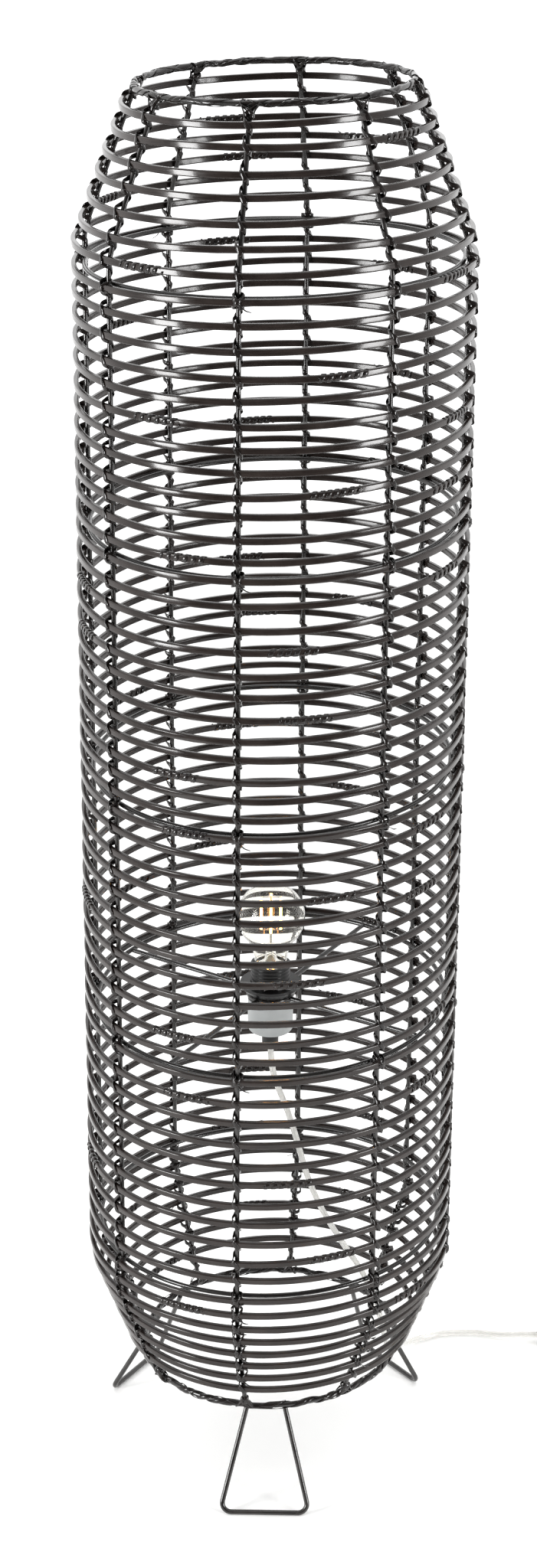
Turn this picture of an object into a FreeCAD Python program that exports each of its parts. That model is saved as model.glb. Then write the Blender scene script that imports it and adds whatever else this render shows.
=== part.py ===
"""Wire cage floor lamp: a steel wire cage on three wire legs, bound round with cane hoops.

Millimetres, +Z up, origin on the floor under the middle of the cage.  The front is -Y.
Azimuths are counted from the front towards +X.
"""
import FreeCAD, Part
import math
import os
import Sketcher
from FreeCAD import Placement, Rotation, Vector

doc = FreeCAD.newDocument("wire_cage_floor_lamp")

# ---------------------------------------------------------------- driving dimensions
DIMENSIONS = [
    # cage: radii are those of the hoops' centre lines on the body, and of the rim wires
    ("body_radius", 160), ("top_rim_radius", 109.5), ("bottom_rim_radius", 115),
    ("top_rim_height", 1225), ("bottom_rim_height", 91),
    ("top_taper_height", 123), ("bottom_taper_height", 107), ("shoulder_bend", 60),
    # rings: the end ones from the shoulders, the others as shares of the height between those
    ("ring_1_drop", 15), ("ring_5_rise", 27),
    ("ring_2_share", 0.752), ("ring_3_share", 0.505), ("ring_4_share", 0.2495),
    ("top_hoop_count", 7), ("bay_hoop_count", 12), ("low_bay_hoop_count", 11),
    ("bottom_hoop_count", 7),
    # hand making: the hoops rise to the right and, between the shoulders, to the back
    ("lean", 1.6), ("back_rise", 3.4), ("jitter", 0.8),
    ("crowd_top", 1.8), ("crowd_1", -4.5), ("crowd_2", -5), ("crowd_3", -1.5),
    ("crowd_4", -2.7), ("crowd_bottom", 1.5),
    # wire and cane
    ("frame_wire", 4), ("rim_wire", 4.5), ("rib_count", 8), ("rib_azimuth", -10),
    ("cane_high", 5.4), ("cane_thick", 4.2), ("seat_gap", 0.4), ("weld_gap", 0.25),
    ("top_rim_gap", 14), ("bottom_rim_gap", 25),
    ("strip_thick", 0.8), ("strip_gap", 0.1), ("splice_length", 42),
    ("lash_width", 5), ("lash_thick", 1), ("lash_gap", 0.8), ("lash_end", 5),
    # legs
    ("leg_wire", 4.5), ("foot_radius", 149), ("foot_half", 39.5), ("leg_top_half", 15.5),
    ("foot_bend", 8), ("leg_weld_gap", 0.5), ("leg_end", 3),
    ("front_leg_azimuth", -1), ("left_leg_azimuth", -121.5), ("right_leg_azimuth", 127),
    # lampholder, from the collar that its bracket ring sits on, just below ring 4
    ("holder_drop", 3), ("arm_azimuth", -34), ("arm_wire", 4), ("arm_count", 4),
    ("bracket_wire", 3.5), ("neck_radius", 17.2), ("neck_bore", 15.2), ("neck_rise", 31.5),
    ("neck_tail", 16), ("thread_pitch", 3.2), ("thread_depth", 0.7),
    ("collar_thick", 2), ("sleeve_radius", 19.8), ("sleeve_height", 31.5), ("sleeve_wall", 1.4),
    ("sleeve_round", 4.5), ("nut_height", 9), ("nut_radius", 26.6), ("nut_flange", 2.6),
    ("nut_foot_radius", 20.5), ("running_gap", 0.4), ("nut_notch", 1.1), ("nut_notches", 26),
    ("insulator_thick", 6.5), ("shell_bore", 13.4), ("shell_wall", 0.5), ("shell_height", 30),
    ("contact_radius", 3.5), ("contact_height", 1),
    ("relief_radius", 7.25), ("relief_length", 14), ("relief_head", 8.6), ("relief_bore_gap", 0.15),
    # lamp bulb, from the tip of its cap
    ("bulb_tip_drop", 1), ("bulb_radius", 29.6), ("bulb_centre", 76.6), ("bulb_neck", 14.3),
    ("bulb_flare", 35), ("bulb_wall", 0.9), ("cap_length", 30), ("cap_core", 12.4),
    ("cap_crest", 13.1), ("cap_pitch", 3.63), ("cap_wall", 0.5), ("cap_glass", 4), ("cap_tip", 1.5),
    ("stem_radius", 5.2), ("stem_height", 20), ("post_radius", 0.8), ("filament_radius", 1.1),
    ("filament_length", 30), ("filament_circle", 8.5), ("filament_level", 64), ("lead_wire", 0.7),
    # cord, its switch and its plug
    ("cord_diameter", 5.4), ("coil_radius", 30), ("coil_pitch", 6.1), ("coil_turns", 3.25),
    ("coil_x", 306), ("coil_y", 58), ("floor_gap", 0.3),
    ("switch_length", 56), ("switch_width", 25), ("switch_height", 17), ("switch_wall", 2),
    ("switch_x", 264), ("switch_y", 134), ("rocker_length", 19), ("rocker_width", 11),
    ("rocker_tilt", 9), ("plug_length", 34), ("plug_width", 26), ("plug_height", 19),
    ("plug_x", 278), ("plug_y", -12), ("pin_radius", 2), ("pin_length", 19), ("pin_spacing", 18.6),
    ("tie_width", 8), ("tie_thick", 0.8),
]
dims = doc.addObject("Spreadsheet::Sheet", "Dims")
for row, (alias, number) in enumerate(DIMENSIONS, 1):
    dims.set(f"A{row}", alias)
    dims.set(f"B{row}", str(number))
    dims.setAlias(f"B{row}", alias)
doc.recompute()

# Sizes that follow from the driving ones, worked out once and used by several pieces.
fits = doc.addObject("App::VarSet", "Fits")


def fit(name, expression):
    """A named size that follows from the driving dimensions."""
    fits.addProperty("App::PropertyFloat", name, "Fits")
    fits.setExpression(name, expression.replace("Fits.", ""))


def value(expression):
    """The present value of an expression, for a sketch's first guess or a count."""
    return float(fits.evalExpression(expression))


def count(alias):
    return int(round(value(f"Dims.{alias}")))


fit("upper_shoulder", "Dims.top_rim_height - Dims.top_taper_height")
fit("lower_shoulder", "Dims.bottom_rim_height + Dims.bottom_taper_height")
fit("ring_1", "Fits.upper_shoulder - Dims.ring_1_drop")
fit("ring_5", "Fits.lower_shoulder + Dims.ring_5_rise")
for ring in ("ring_2", "ring_3", "ring_4"):
    fit(ring, f"Fits.ring_5 + (Fits.ring_1 - Fits.ring_5) * Dims.{ring}_share")
fit("holder_seat", "Fits.ring_4 - Dims.holder_drop")
fit("bulb_tip_level", "Fits.holder_seat - Dims.bulb_tip_drop")
# ribs stand behind the hoops; the body's rings stand behind the ribs
fit("rib_radius", "Dims.body_radius - Dims.cane_thick / 2 - Dims.seat_gap - Dims.frame_wire / 2")
fit("ring_radius", "rib_radius - Dims.frame_wire - Dims.weld_gap")
fit("top_taper", "(rib_radius - Dims.top_rim_radius) / (Dims.top_rim_height - Fits.upper_shoulder)")
fit("bottom_taper",
    "(rib_radius - Dims.bottom_rim_radius) / (Fits.lower_shoulder - Dims.bottom_rim_height)")
for end in ("top", "bottom"):
    fit(f"{end}_cos", f"1 / sqrt(1 + {end}_taper ^ 2)")
    fit(f"{end}_sin", f"{end}_taper * {end}_cos")
    # half of the cane's flat-oval section, measured square to the tapered rib
    fit(f"{end}_half",
        f"sqrt((Dims.cane_thick / 2 * {end}_cos) ^ 2 + (Dims.cane_high / 2 * {end}_sin) ^ 2)")
    fit(f"{end}_offset",
        f"({end}_half + Dims.seat_gap + Dims.frame_wire / 2) / {end}_cos")
doc.recompute()


# ---------------------------------------------------------------- helpers
nodes = []


def add(kind, name, **expressions):
    """A document object with its sizes bound to the sheet."""
    piece = doc.addObject(kind, name)
    for size, expression in expressions.items():
        piece.setExpression(size, expression)
    return piece


def place(piece, x="0", y="0", z="0", turn=None):
    """Bind a piece's Placement: an offset, then the rotations listed in turn, outermost first."""
    rotations = turn or ["rotation(vector(0;0;1); 0)"]
    piece.setExpression("Placement", f"placement(vector({x}; {y}; {z}); {' * '.join(rotations)})")
    return piece


def about(axis, angle):
    x, y, z = {"x": (1, 0, 0), "y": (0, 1, 0), "z": (0, 0, 1), "xyz": (1, 1, 1)}[axis]
    return f"rotation(vector({x};{y};{z}); {angle})"


def node(label, piece):
    """Give a finished sub-part the name that its file takes."""
    piece.Label = label
    nodes.append(piece)
    return piece


def group(name, pieces):
    """Several like solids that share one node."""
    compound = doc.addObject("Part::Compound", name)
    compound.Links = pieces
    return compound


def cut(name, base, tool):
    result = doc.addObject("Part::Cut", name)
    result.Base = base
    result.Tool = tool
    return result


def fuse(name, pieces):
    result = doc.addObject("Part::MultiFuse", name)
    result.Shapes = pieces
    return result


def cylinder(name, radius, height, **where):
    return place(add("Part::Cylinder", name, Radius=radius, Height=height), **where)


def tube(name, outer, bore, height, **where):
    """A plain tube; its bore runs a little past both ends of the blank."""
    blank = cylinder(f"{name}_blank", outer, height)
    hole = cylinder(f"{name}_hole", bore, f"({height}) + 2", z="-1")
    return place(cut(name, blank, hole), **where)


def revolve(name, section, angle="360", solid=True):
    turned = add("Part::Revolution", name, Angle=angle)
    turned.Source = section
    turned.Axis = Vector(0, 0, 1)
    turned.Base = Vector(0, 0, 0)
    turned.Solid = solid
    return turned


def sketch(name):
    """A sketch on the XZ plane: its own X is the radius and its own Y the height."""
    piece = doc.addObject("Sketcher::SketchObject", name)
    piece.Placement = Placement(Vector(0, 0, 0), Rotation(Vector(1, 0, 0), 90))
    return piece


def locate(piece, geometry, end, x, y):
    """Bind the place of one end (1 start, 2 end, 3 centre) of a sketch's line or arc."""
    for kind, expression in (("DistanceX", x), ("DistanceY", y)):
        constraint = piece.addConstraint(
            Sketcher.Constraint(kind, -1, 1, geometry, end, value(expression)))
        piece.setExpression(f"Constraints[{constraint}]", expression)


def size_arc(piece, geometry, radius):
    constraint = piece.addConstraint(
        Sketcher.Constraint("Radius", geometry, value(radius)))
    piece.setExpression(f"Constraints[{constraint}]", radius)


def bent_path(name, corners, bend):
    """Straight runs between corners, joined by tangent arcs; corners are (x, y) expressions."""
    piece = sketch(name)
    spots = [Vector(value(x), value(y), 0) for x, y in corners]
    last = len(spots) - 1
    ways = [(end - start).normalize() for start, end in zip(spots, spots[1:])]
    trims = [0] + [value(bend) * math.tan(ways[i - 1].getAngle(ways[i]) / 2)
                   for i in range(1, last)] + [0]
    lines = [piece.addGeometry(Part.LineSegment(spots[i] + ways[i] * trims[i],
                                                spots[i + 1] - ways[i] * trims[i + 1]))
             for i in range(last)]
    locate(piece, lines[0], 1, *corners[0])
    locate(piece, lines[-1], 2, *corners[-1])
    for i in range(1, last):
        before, after = lines[i - 1], lines[i]
        first = piece.Geometry[before].EndPoint
        second = piece.Geometry[after].StartPoint
        bulge = math.hypot(value(bend), trims[i]) - value(bend)
        middle = spots[i] + (ways[i] - ways[i - 1]).normalize() * bulge
        arc = piece.addGeometry(Part.Arc(first, middle, second))
        clockwise = (spots[i] - first).cross(second - first).z < 0
        ends = (2, 1) if clockwise else (1, 2)
        piece.addConstraint(Sketcher.Constraint("Tangent", before, 2, arc, ends[0]))
        piece.addConstraint(Sketcher.Constraint("Tangent", arc, ends[1], after, 1))
        size_arc(piece, arc, bend)
        corner = piece.addGeometry(Part.Point(spots[i]), True)
        locate(piece, corner, 1, *corners[i])
        piece.addConstraint(Sketcher.Constraint("PointOnObject", corner, 1, before))
        piece.addConstraint(Sketcher.Constraint("PointOnObject", corner, 1, after))
    return piece


def bent_wire(name, corners, bend, section):
    """A wire or strip swept along a bent path; section is already sized, at the path's start."""
    path = bent_path(f"{name}_path", corners, bend)
    (x0, y0), (x1, y1) = corners[0], corners[1]
    slope = about("y", f"atan((({x1}) - ({x0})) / (({y1}) - ({y0})))")
    place(section, x=x0, z=y0, turn=[slope, about("z", "90")])
    doc.recompute()
    wire = doc.addObject("Part::Sweep", name)
    wire.Sections = [section]
    wire.Spine = (path, [f"Edge{i}" for i in range(1, len(path.Shape.Edges) + 1)])
    wire.Solid = True
    return wire


# ---------------------------------------------------------------- the cage's shape
def cage_radius(level):
    """Radius of a hoop's centre line at a height: tapered, upright, tapered."""
    return ("min(Dims.body_radius;"
            f" Dims.top_rim_radius + Fits.top_offset"
            f" + Fits.top_taper * (Dims.top_rim_height - ({level}));"
            f" Dims.bottom_rim_radius + Fits.bottom_offset"
            f" + Fits.bottom_taper * (({level}) - Dims.bottom_rim_height))")


def back_rise(level):
    """Degrees that a hoop or ring between the shoulders rises to the back."""
    return (f"Dims.back_rise * sin(180 * (({level}) - Fits.ring_5)"
            " / (Fits.ring_1 - Fits.ring_5))")


def tilt(rise="0"):
    """The hand-made tilt: up to the right by lean, up to the back by rise."""
    return [about("y", "-Dims.lean"), about("x", rise)]


def rib_azimuth(number):
    return f"(Dims.rib_azimuth + 360 / Dims.rib_count * {number})"


# ---------------------------------------------------------------- steel wire frame
def ring_wire(label, level, radius, wire, rise="0", shift="0"):
    ring = add("Part::Torus", label, Radius1=radius, Radius2=f"{wire} / 2")
    return node(label, place(ring, x=shift, z=level, turn=tilt(rise)))


TOP_RIM_SHIFT = "-Fits.top_taper * Dims.top_rim_radius * sin(Dims.lean)"
BOTTOM_RIM_SHIFT = "Fits.bottom_taper * Dims.bottom_rim_radius * sin(Dims.lean)"
ring_wire("top_rim_ring", "Dims.top_rim_height", "Dims.top_rim_radius", "Dims.rim_wire",
          shift=TOP_RIM_SHIFT)
for label, level in (("upper_shoulder_ring", "Fits.ring_1"), ("upper_body_ring", "Fits.ring_2"),
                     ("middle_body_ring", "Fits.ring_3"), ("lampholder_ring", "Fits.ring_4"),
                     ("lower_shoulder_ring", "Fits.ring_5")):
    ring_wire(label, level, "Fits.ring_radius", "Dims.frame_wire", rise=back_rise(level))
ring_wire("bottom_rim_ring", "Dims.bottom_rim_height", "Dims.bottom_rim_radius",
          "Dims.rim_wire", shift=BOTTOM_RIM_SHIFT)


def rim_end(end, azimuth, setback):
    """Where a line down the taper stops short of the leaning rim wire: (radius, height)."""
    side = "-" if end == "top" else "+"
    rim = f"Dims.{end}_rim"
    level = (f"({rim}_height + {rim}_radius * sin({azimuth}) * sin(Dims.lean)"
             f" {side} ({setback}) * Fits.{end}_cos)")
    if end == "top":
        radius = f"({rim}_radius + Fits.top_taper * ({rim}_height - {level}))"
    else:
        radius = f"({rim}_radius + Fits.bottom_taper * ({level} - {rim}_height))"
    return radius, level


# A rib is one wire, bent at both shoulders and butted to both rims.
RIB_SETBACK = "Dims.rim_wire / 2 + Dims.weld_gap"
for number in range(count("rib_count")):
    azimuth = rib_azimuth(number)
    corners = [rim_end("bottom", azimuth, RIB_SETBACK),
               ("Fits.rib_radius", "Fits.lower_shoulder"),
               ("Fits.rib_radius", "Fits.upper_shoulder"),
               rim_end("top", azimuth, RIB_SETBACK)]
    section = add("Part::Circle", f"rib_{number + 1}_section", Radius="Dims.frame_wire / 2")
    rib = bent_wire(f"rib_{number + 1}", corners, "Dims.shoulder_bend", section)
    node(f"rib_{number + 1}", place(rib, turn=[about("z", f"{azimuth} - 90")]))

# A leg is one wire, bent into a trapezoid: narrow at the rim, with a bar on the floor.
for label, azimuth in (("front_leg", "Dims.front_leg_azimuth"),
                       ("left_leg", "Dims.left_leg_azimuth"),
                       ("right_leg", "Dims.right_leg_azimuth")):
    rise = (f"(Dims.bottom_rim_height - Dims.leg_wire / 2"
            f" + Dims.bottom_rim_radius * sin({azimuth}) * sin(Dims.lean))")
    reach = (f"(Dims.foot_radius - sqrt(Dims.bottom_rim_radius ^ 2 - Dims.leg_top_half ^ 2)"
             f" - Fits.bottom_taper * Dims.bottom_rim_radius * sin({azimuth}) * sin(Dims.lean))")
    miss = "(Dims.rim_wire / 2 + Dims.leg_wire / 2 + Dims.leg_weld_gap)"
    straight = f"sqrt({rise} ^ 2 + {reach} ^ 2)"
    splay = f"(atan({reach} / {rise}) + asin({miss} / {straight}))"
    top = f"(sqrt({rise} ^ 2 + {reach} ^ 2 - {miss} ^ 2) + Dims.leg_end)"
    corners = [("-Dims.leg_top_half", top), ("-Dims.foot_half", "0"),
               ("Dims.foot_half", "0"), ("Dims.leg_top_half", top)]
    section = add("Part::Circle", f"{label}_section", Radius="Dims.leg_wire / 2")
    leg = bent_wire(label, corners, "Dims.foot_bend", section)
    node(label, place(leg, x=f"Dims.foot_radius * sin({azimuth})",
                      y=f"-Dims.foot_radius * cos({azimuth})", z="Dims.leg_wire / 2",
                      turn=[about("z", azimuth), about("x", f"-{splay}")]))


# ---------------------------------------------------------------- cane hoops and splices
def cane_section(name, growth="0"):
    """The flat-oval section of the cane, or of a binding that much thicker all round."""
    return add("Part::Ellipse", name, MajorRadius=f"Dims.cane_high / 2 + {growth}",
               MinorRadius=f"Dims.cane_thick / 2 + {growth}")


def stand_section(section, radius, azimuth="90"):
    """Stand a section upright on the hoop's circle, facing along it."""
    spin = about("z", f"({azimuth}) - 90")
    section.setExpression(
        "Placement", f"placement(vector(0;0;0); {spin})"
        f" * placement(vector({radius};0;0); {about('xyz', '-120')})")


def hoop_and_splice(index, level, rise, sector):
    """One cane hoop, and the strip bound round its overlap in the given gap between ribs."""
    name = f"hoop_{index}"
    section = cane_section(f"{name}_section")
    for size in ("Level", "Middle", "Right", "Left"):
        section.addProperty("App::PropertyFloat", size, "Hoop")
    section.setExpression("Level", level)
    section.setExpression("Middle", cage_radius(f"{section.Name}.Level"))
    climb = f"{section.Name}.Middle * sin(Dims.lean)"
    section.setExpression("Right", cage_radius(f"{section.Name}.Level + {climb}"))
    section.setExpression("Left", cage_radius(f"{section.Name}.Level - {climb}"))
    radius = f"({section.Name}.Right + {section.Name}.Left) / 2"
    spot = {"x": f"({section.Name}.Right - {section.Name}.Left) / 2",
            "z": f"{section.Name}.Level", "turn": tilt(rise)}
    stand_section(section, radius)
    hoop = place(revolve(name, section), **spot)

    half = f"(Dims.splice_length / 2 / ({radius}) * 180 / {math.pi})"
    azimuth = (f"({rib_azimuth(sector)} + 180 / Dims.rib_count"
               f" + {SPLICE_SWAY} * sin({GOLDEN_ANGLE} * {index}))")
    rims = []
    for part, growth in (("outside", "Dims.strip_gap + Dims.strip_thick"),
                         ("inside", "Dims.strip_gap")):
        rim = cane_section(f"splice_{index}_{part}", growth)
        stand_section(rim, radius, f"{azimuth} - {half}")
        rims.append(rim)
    wall = doc.addObject("Part::Face", f"splice_{index}_wall")
    wall.Sources = rims
    wall.FaceMakerClass = "Part::FaceMakerBullseye"
    splice = place(revolve(f"splice_{index}", wall, f"2 * {half}", solid=False), **spot)
    return hoop, splice


GOLDEN_ANGLE = 137.5    # degrees; spreads the hand-made differences evenly
SPLICE_SWAY = 7         # degrees that a splice lies off the middle of its gap between ribs
# The gap between ribs where each hoop is spliced, from the top hoop down.
SPLICE_GAPS = "2143457143" "0571301473" "1606403472" "5714013604" "5713714305" "640347153425"
# node, upper level, lower level, steps between them, first step, crowding, rises to the back
COURSES = [
    ("top_taper_hoops", "(Dims.top_rim_height - Dims.top_rim_gap)", "Fits.ring_1",
     "top_hoop_count", 0, "Dims.crowd_top", False),
    ("upper_body_hoops", "Fits.ring_1", "Fits.ring_2", "bay_hoop_count", 1, "Dims.crowd_1", True),
    ("upper_middle_hoops", "Fits.ring_2", "Fits.ring_3", "bay_hoop_count", 1, "Dims.crowd_2",
     True),
    ("lower_middle_hoops", "Fits.ring_3", "Fits.ring_4", "bay_hoop_count", 1, "Dims.crowd_3",
     True),
    ("lower_body_hoops", "Fits.ring_4", "Fits.ring_5", "low_bay_hoop_count", 1, "Dims.crowd_4",
     True),
    ("bottom_taper_hoops", "Fits.ring_5", "(Dims.bottom_rim_height + Dims.bottom_rim_gap)",
     "bottom_hoop_count", 1, "Dims.crowd_bottom", False),
]
index = 0
all_splices = []
for label, upper, lower, steps_alias, first, crowd, rises in COURSES:
    steps = count(steps_alias)
    hoops = []
    splices = []
    for step in range(first, steps + 1):
        level = (f"{upper} - ({upper} - {lower}) * {step} / {steps}"
                 f" + {crowd} * sin(180 * {step} / {steps})"
                 f" + Dims.jitter * sin({GOLDEN_ANGLE} * {index})")
        index += 1
        rise = back_rise(f"hoop_{index}_section.Level") if rises else "0"
        hoop, splice = hoop_and_splice(index, level, rise, 
                                       int(SPLICE_GAPS[(index - 1) % len(SPLICE_GAPS)]))
        hoops.append(hoop)
        splices.append(splice)
    node(label, group(label, hoops))
    all_splices.append(splices)
for label, courses in (("upper_splice_bindings", all_splices[:2]),
                       ("middle_splice_bindings", all_splices[2:4]),
                       ("lower_splice_bindings", all_splices[4:])):
    node(label, group(label, [splice for course in courses for splice in course]))

# The strip that lashes the hoops to a rib, as the band that lies over all of them.
for end in ("top", "bottom"):
    fit(f"{end}_lash", f"{end}_offset + ({end}_half + Dims.lash_gap + Dims.lash_thick / 2)"
                       f" / {end}_cos")
fit("lash_radius", "Dims.body_radius + Dims.cane_thick / 2 + Dims.lash_gap + Dims.lash_thick / 2")
fit("lash_bend", "Dims.shoulder_bend + lash_radius - rib_radius")
fit("lash_bottom", "Dims.bottom_rim_height + Dims.bottom_rim_gap - Dims.lash_end")
fit("lash_top", "Dims.top_rim_height - Dims.top_rim_gap + Dims.lash_end")
fit("lash_low_corner", "Dims.bottom_rim_height"
    " + (lash_radius - Dims.bottom_rim_radius - bottom_lash) / bottom_taper")
fit("lash_high_corner", "Dims.top_rim_height"
    " - (lash_radius - Dims.top_rim_radius - top_lash) / top_taper")
doc.recompute()
for number in range(count("rib_count")):
    azimuth = rib_azimuth(number)
    climb = f"sin({azimuth}) * sin(Dims.lean)"
    low = f"(Fits.lash_bottom + Dims.bottom_rim_radius * {climb})"
    high = f"(Fits.lash_top + Dims.top_rim_radius * {climb})"
    corners = [(f"Dims.bottom_rim_radius + Fits.bottom_lash"
                f" + Fits.bottom_taper * ({low} - Dims.bottom_rim_height)", low),
               ("Fits.lash_radius", "Fits.lash_low_corner"),
               ("Fits.lash_radius", "Fits.lash_high_corner"),
               (f"Dims.top_rim_radius + Fits.top_lash"
                f" + Fits.top_taper * (Dims.top_rim_height - {high})", high)]
    label = f"rib_lashing_{number + 1}"
    section = add("Part::Ellipse", f"{label}_section", MajorRadius="Dims.lash_width / 2",
                  MinorRadius="Dims.lash_thick / 2")
    lashing = bent_wire(label, corners, "Fits.lash_bend", section)
    node(label, place(lashing, turn=[about("z", f"{azimuth} - 90")]))


# The strip wound round each rim, open on the side where the ribs and the legs meet it.
def rim_binding(label, radius, level, shift, start, end):
    profile = sketch(f"{label}_profile")
    strip = "(Dims.rim_wire / 2 + Dims.seat_gap * 1.25)"
    ends = []
    for size in (f"({strip} + Dims.strip_thick)", strip):
        r, centre = value(size), Vector(value(radius), 0, 0)
        rim = profile.addGeometry(Part.Arc(*(
            centre + Vector(math.cos(math.radians(a)), math.sin(math.radians(a)), 0) * r
            for a in (start, (start + end) / 2, end))))
        locate(profile, rim, 3, radius, "0")
        locate(profile, rim, 1, f"{radius} + {size} * cos({start})", f"{size} * sin({start})")
        height = profile.addConstraint(
            Sketcher.Constraint("DistanceY", -1, 1, rim, 2, r * math.sin(math.radians(end))))
        profile.setExpression(f"Constraints[{height}]", f"{size} * sin({end})")
        ends.append(rim)
    outer, inner = ends
    for end_point in (1, 2):
        edge = profile.addGeometry(Part.LineSegment(
            profile.getPoint(outer, end_point), profile.getPoint(inner, end_point)))
        profile.addConstraint(Sketcher.Constraint("Coincident", edge, 1, outer, end_point))
        profile.addConstraint(Sketcher.Constraint("Coincident", edge, 2, inner, end_point))
    node(label, place(revolve(label, profile), x=shift, z=level, turn=tilt()))


rim_binding("top_rim_binding", "Dims.top_rim_radius", "Dims.top_rim_height", TOP_RIM_SHIFT,
            -15, 180)
rim_binding("bottom_rim_binding", "Dims.bottom_rim_radius", "Dims.bottom_rim_height",
            BOTTOM_RIM_SHIFT, -105, 15)


# ---------------------------------------------------------------- lampholder
SEAT = "Fits.holder_seat"
fit("bracket_radius", "Dims.neck_radius + Dims.running_gap + Dims.bracket_wire / 2")
fit("bracket_level", "Fits.holder_seat + Dims.weld_gap + Dims.bracket_wire / 2")
fit("nut_level", "bracket_level + Dims.bracket_wire / 2 + Dims.weld_gap")
fit("sleeve_bottom", "Fits.holder_seat - Dims.collar_thick - Dims.sleeve_height")
fit("insulator_top", "Fits.bulb_tip_level - Dims.contact_height - Dims.weld_gap * 2")
doc.recompute()

bracket = add("Part::Torus", "bracket_ring", Radius1="Fits.bracket_radius",
              Radius2="Dims.bracket_wire / 2")
node("bracket_ring", place(bracket, z="Fits.bracket_level"))

arms = []
for number in range(count("arm_count")):
    azimuth = f"(Dims.arm_azimuth + 360 / Dims.arm_count * {number})"
    start = "(Fits.bracket_radius + Dims.bracket_wire / 2 + Dims.weld_gap)"
    end = "(Fits.ring_radius - Dims.frame_wire / 2 - Dims.weld_gap)"
    rise = (f"(Fits.ring_4 - Fits.bracket_level + {end} * (sin({azimuth}) * sin(Dims.lean)"
            f" - cos({azimuth}) * sin({back_rise('Fits.ring_4')})))")
    arm = cylinder(f"arm_{number + 1}", "Dims.arm_wire / 2",
                   f"sqrt(({end} - {start}) ^ 2 + {rise} ^ 2)",
                   x=f"{start} * sin({azimuth})", y=f"-{start} * cos({azimuth})",
                   z="Fits.bracket_level",
                   turn=[about("z", f"{azimuth} - 90"),
                         about("y", "90"), about("y", f"-atan({rise} / ({end} - {start}))")])
    arms.append(arm)
node("bracket_arms", group("bracket_arms", arms))

# The black neck: a tube with a coarse outside thread above its collar.
neck_tube = tube("neck_tube", "Dims.neck_radius", "Dims.neck_bore",
                 "Dims.neck_rise + Dims.neck_tail", z=f"{SEAT} - Dims.neck_tail")
collar = tube("neck_collar", "Dims.sleeve_radius", "Dims.neck_bore", "Dims.collar_thick",
              z=f"{SEAT} - Dims.collar_thick")
grooves = []
for turn in range(int(value("(Dims.neck_rise - Dims.nut_height) / Dims.thread_pitch"))):
    groove = add("Part::Torus", f"neck_groove_{turn + 1}",
                 Radius1="Dims.neck_radius + Dims.thread_depth / 2",
                 Radius2="Dims.thread_depth * 1.5")
    grooves.append(place(groove, z=f"{SEAT} + Dims.neck_rise"
                                   f" - Dims.thread_pitch * {turn + 0.7}"))
node("threaded_neck", cut("threaded_neck", fuse("neck_blank", [neck_tube, collar]),
                          group("neck_grooves", grooves)))

# The ring nut: a flange over a tapered, notched skirt.
nut_foot = add("Part::Cone", "nut_foot", Radius1="Dims.nut_foot_radius", Radius2="Dims.nut_radius",
               Height="Dims.nut_height - Dims.nut_flange")
nut_top = cylinder("nut_top", "Dims.nut_radius", "Dims.nut_flange",
                   z="Dims.nut_height - Dims.nut_flange")
nut_bore = cylinder("nut_bore", "Dims.neck_radius + Dims.running_gap", "Dims.nut_height + 2",
                    z="-1")
nut_tools = [nut_bore]
for number in range(count("nut_notches")):
    azimuth = f"(360 / Dims.nut_notches * {number})"
    notch = cylinder(f"nut_notch_{number + 1}", "Dims.nut_notch",
                     "Dims.nut_height - Dims.nut_flange",
                     x=f"(Dims.nut_foot_radius + Dims.nut_notch / 2) * cos({azimuth})",
                     y=f"(Dims.nut_foot_radius + Dims.nut_notch / 2) * sin({azimuth})", z="-1")
    nut_tools.append(notch)
nut = cut("retaining_ring", fuse("nut_blank", [nut_foot, nut_top]),
          group("nut_tools", nut_tools))
node("retaining_ring", place(nut, z="Fits.nut_level"))

# The pale sleeve: a cup with a rounded foot, hung from the collar.
sleeve_blank = cylinder("sleeve_blank", "Dims.sleeve_radius", "Dims.sleeve_height - Dims.weld_gap")
doc.recompute()
sleeve_round = doc.addObject("Part::Fillet", "sleeve_round")
sleeve_round.Base = sleeve_blank
foot_edge = min(range(1, 4), key=lambda i: sleeve_blank.Shape.Edges[i - 1].CenterOfMass.z)
sleeve_radius = value("Dims.sleeve_round")
sleeve_round.Edges = [(foot_edge, sleeve_radius, sleeve_radius)]
hollow = cylinder("sleeve_hollow", "Dims.sleeve_radius - Dims.sleeve_wall", "Dims.sleeve_height",
                  z="Dims.sleeve_wall * 2")
outlet = cylinder("sleeve_outlet", "Dims.relief_radius - Dims.sleeve_wall + Dims.running_gap",
                  "Dims.sleeve_wall * 4", z="-Dims.sleeve_wall")
node("holder_sleeve", place(cut("holder_sleeve", sleeve_round,
                                group("sleeve_tools", [hollow, outlet])),
                            z="Fits.sleeve_bottom"))

node("holder_insulator", cylinder(
    "holder_insulator", "Dims.neck_bore - Dims.weld_gap", "Dims.insulator_thick",
    z="Fits.insulator_top - Dims.insulator_thick"))
node("screw_shell", tube("screw_shell", "Dims.shell_bore + Dims.shell_wall", "Dims.shell_bore",
                         "Dims.shell_height", z="Fits.insulator_top + Dims.weld_gap"))
contact = add("Part::Cone", "centre_contact", Radius1="Dims.contact_radius",
              Radius2="Dims.contact_radius * 0.6", Height="Dims.contact_height")
node("centre_contact", place(contact, z="Fits.insulator_top + Dims.weld_gap"))

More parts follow.
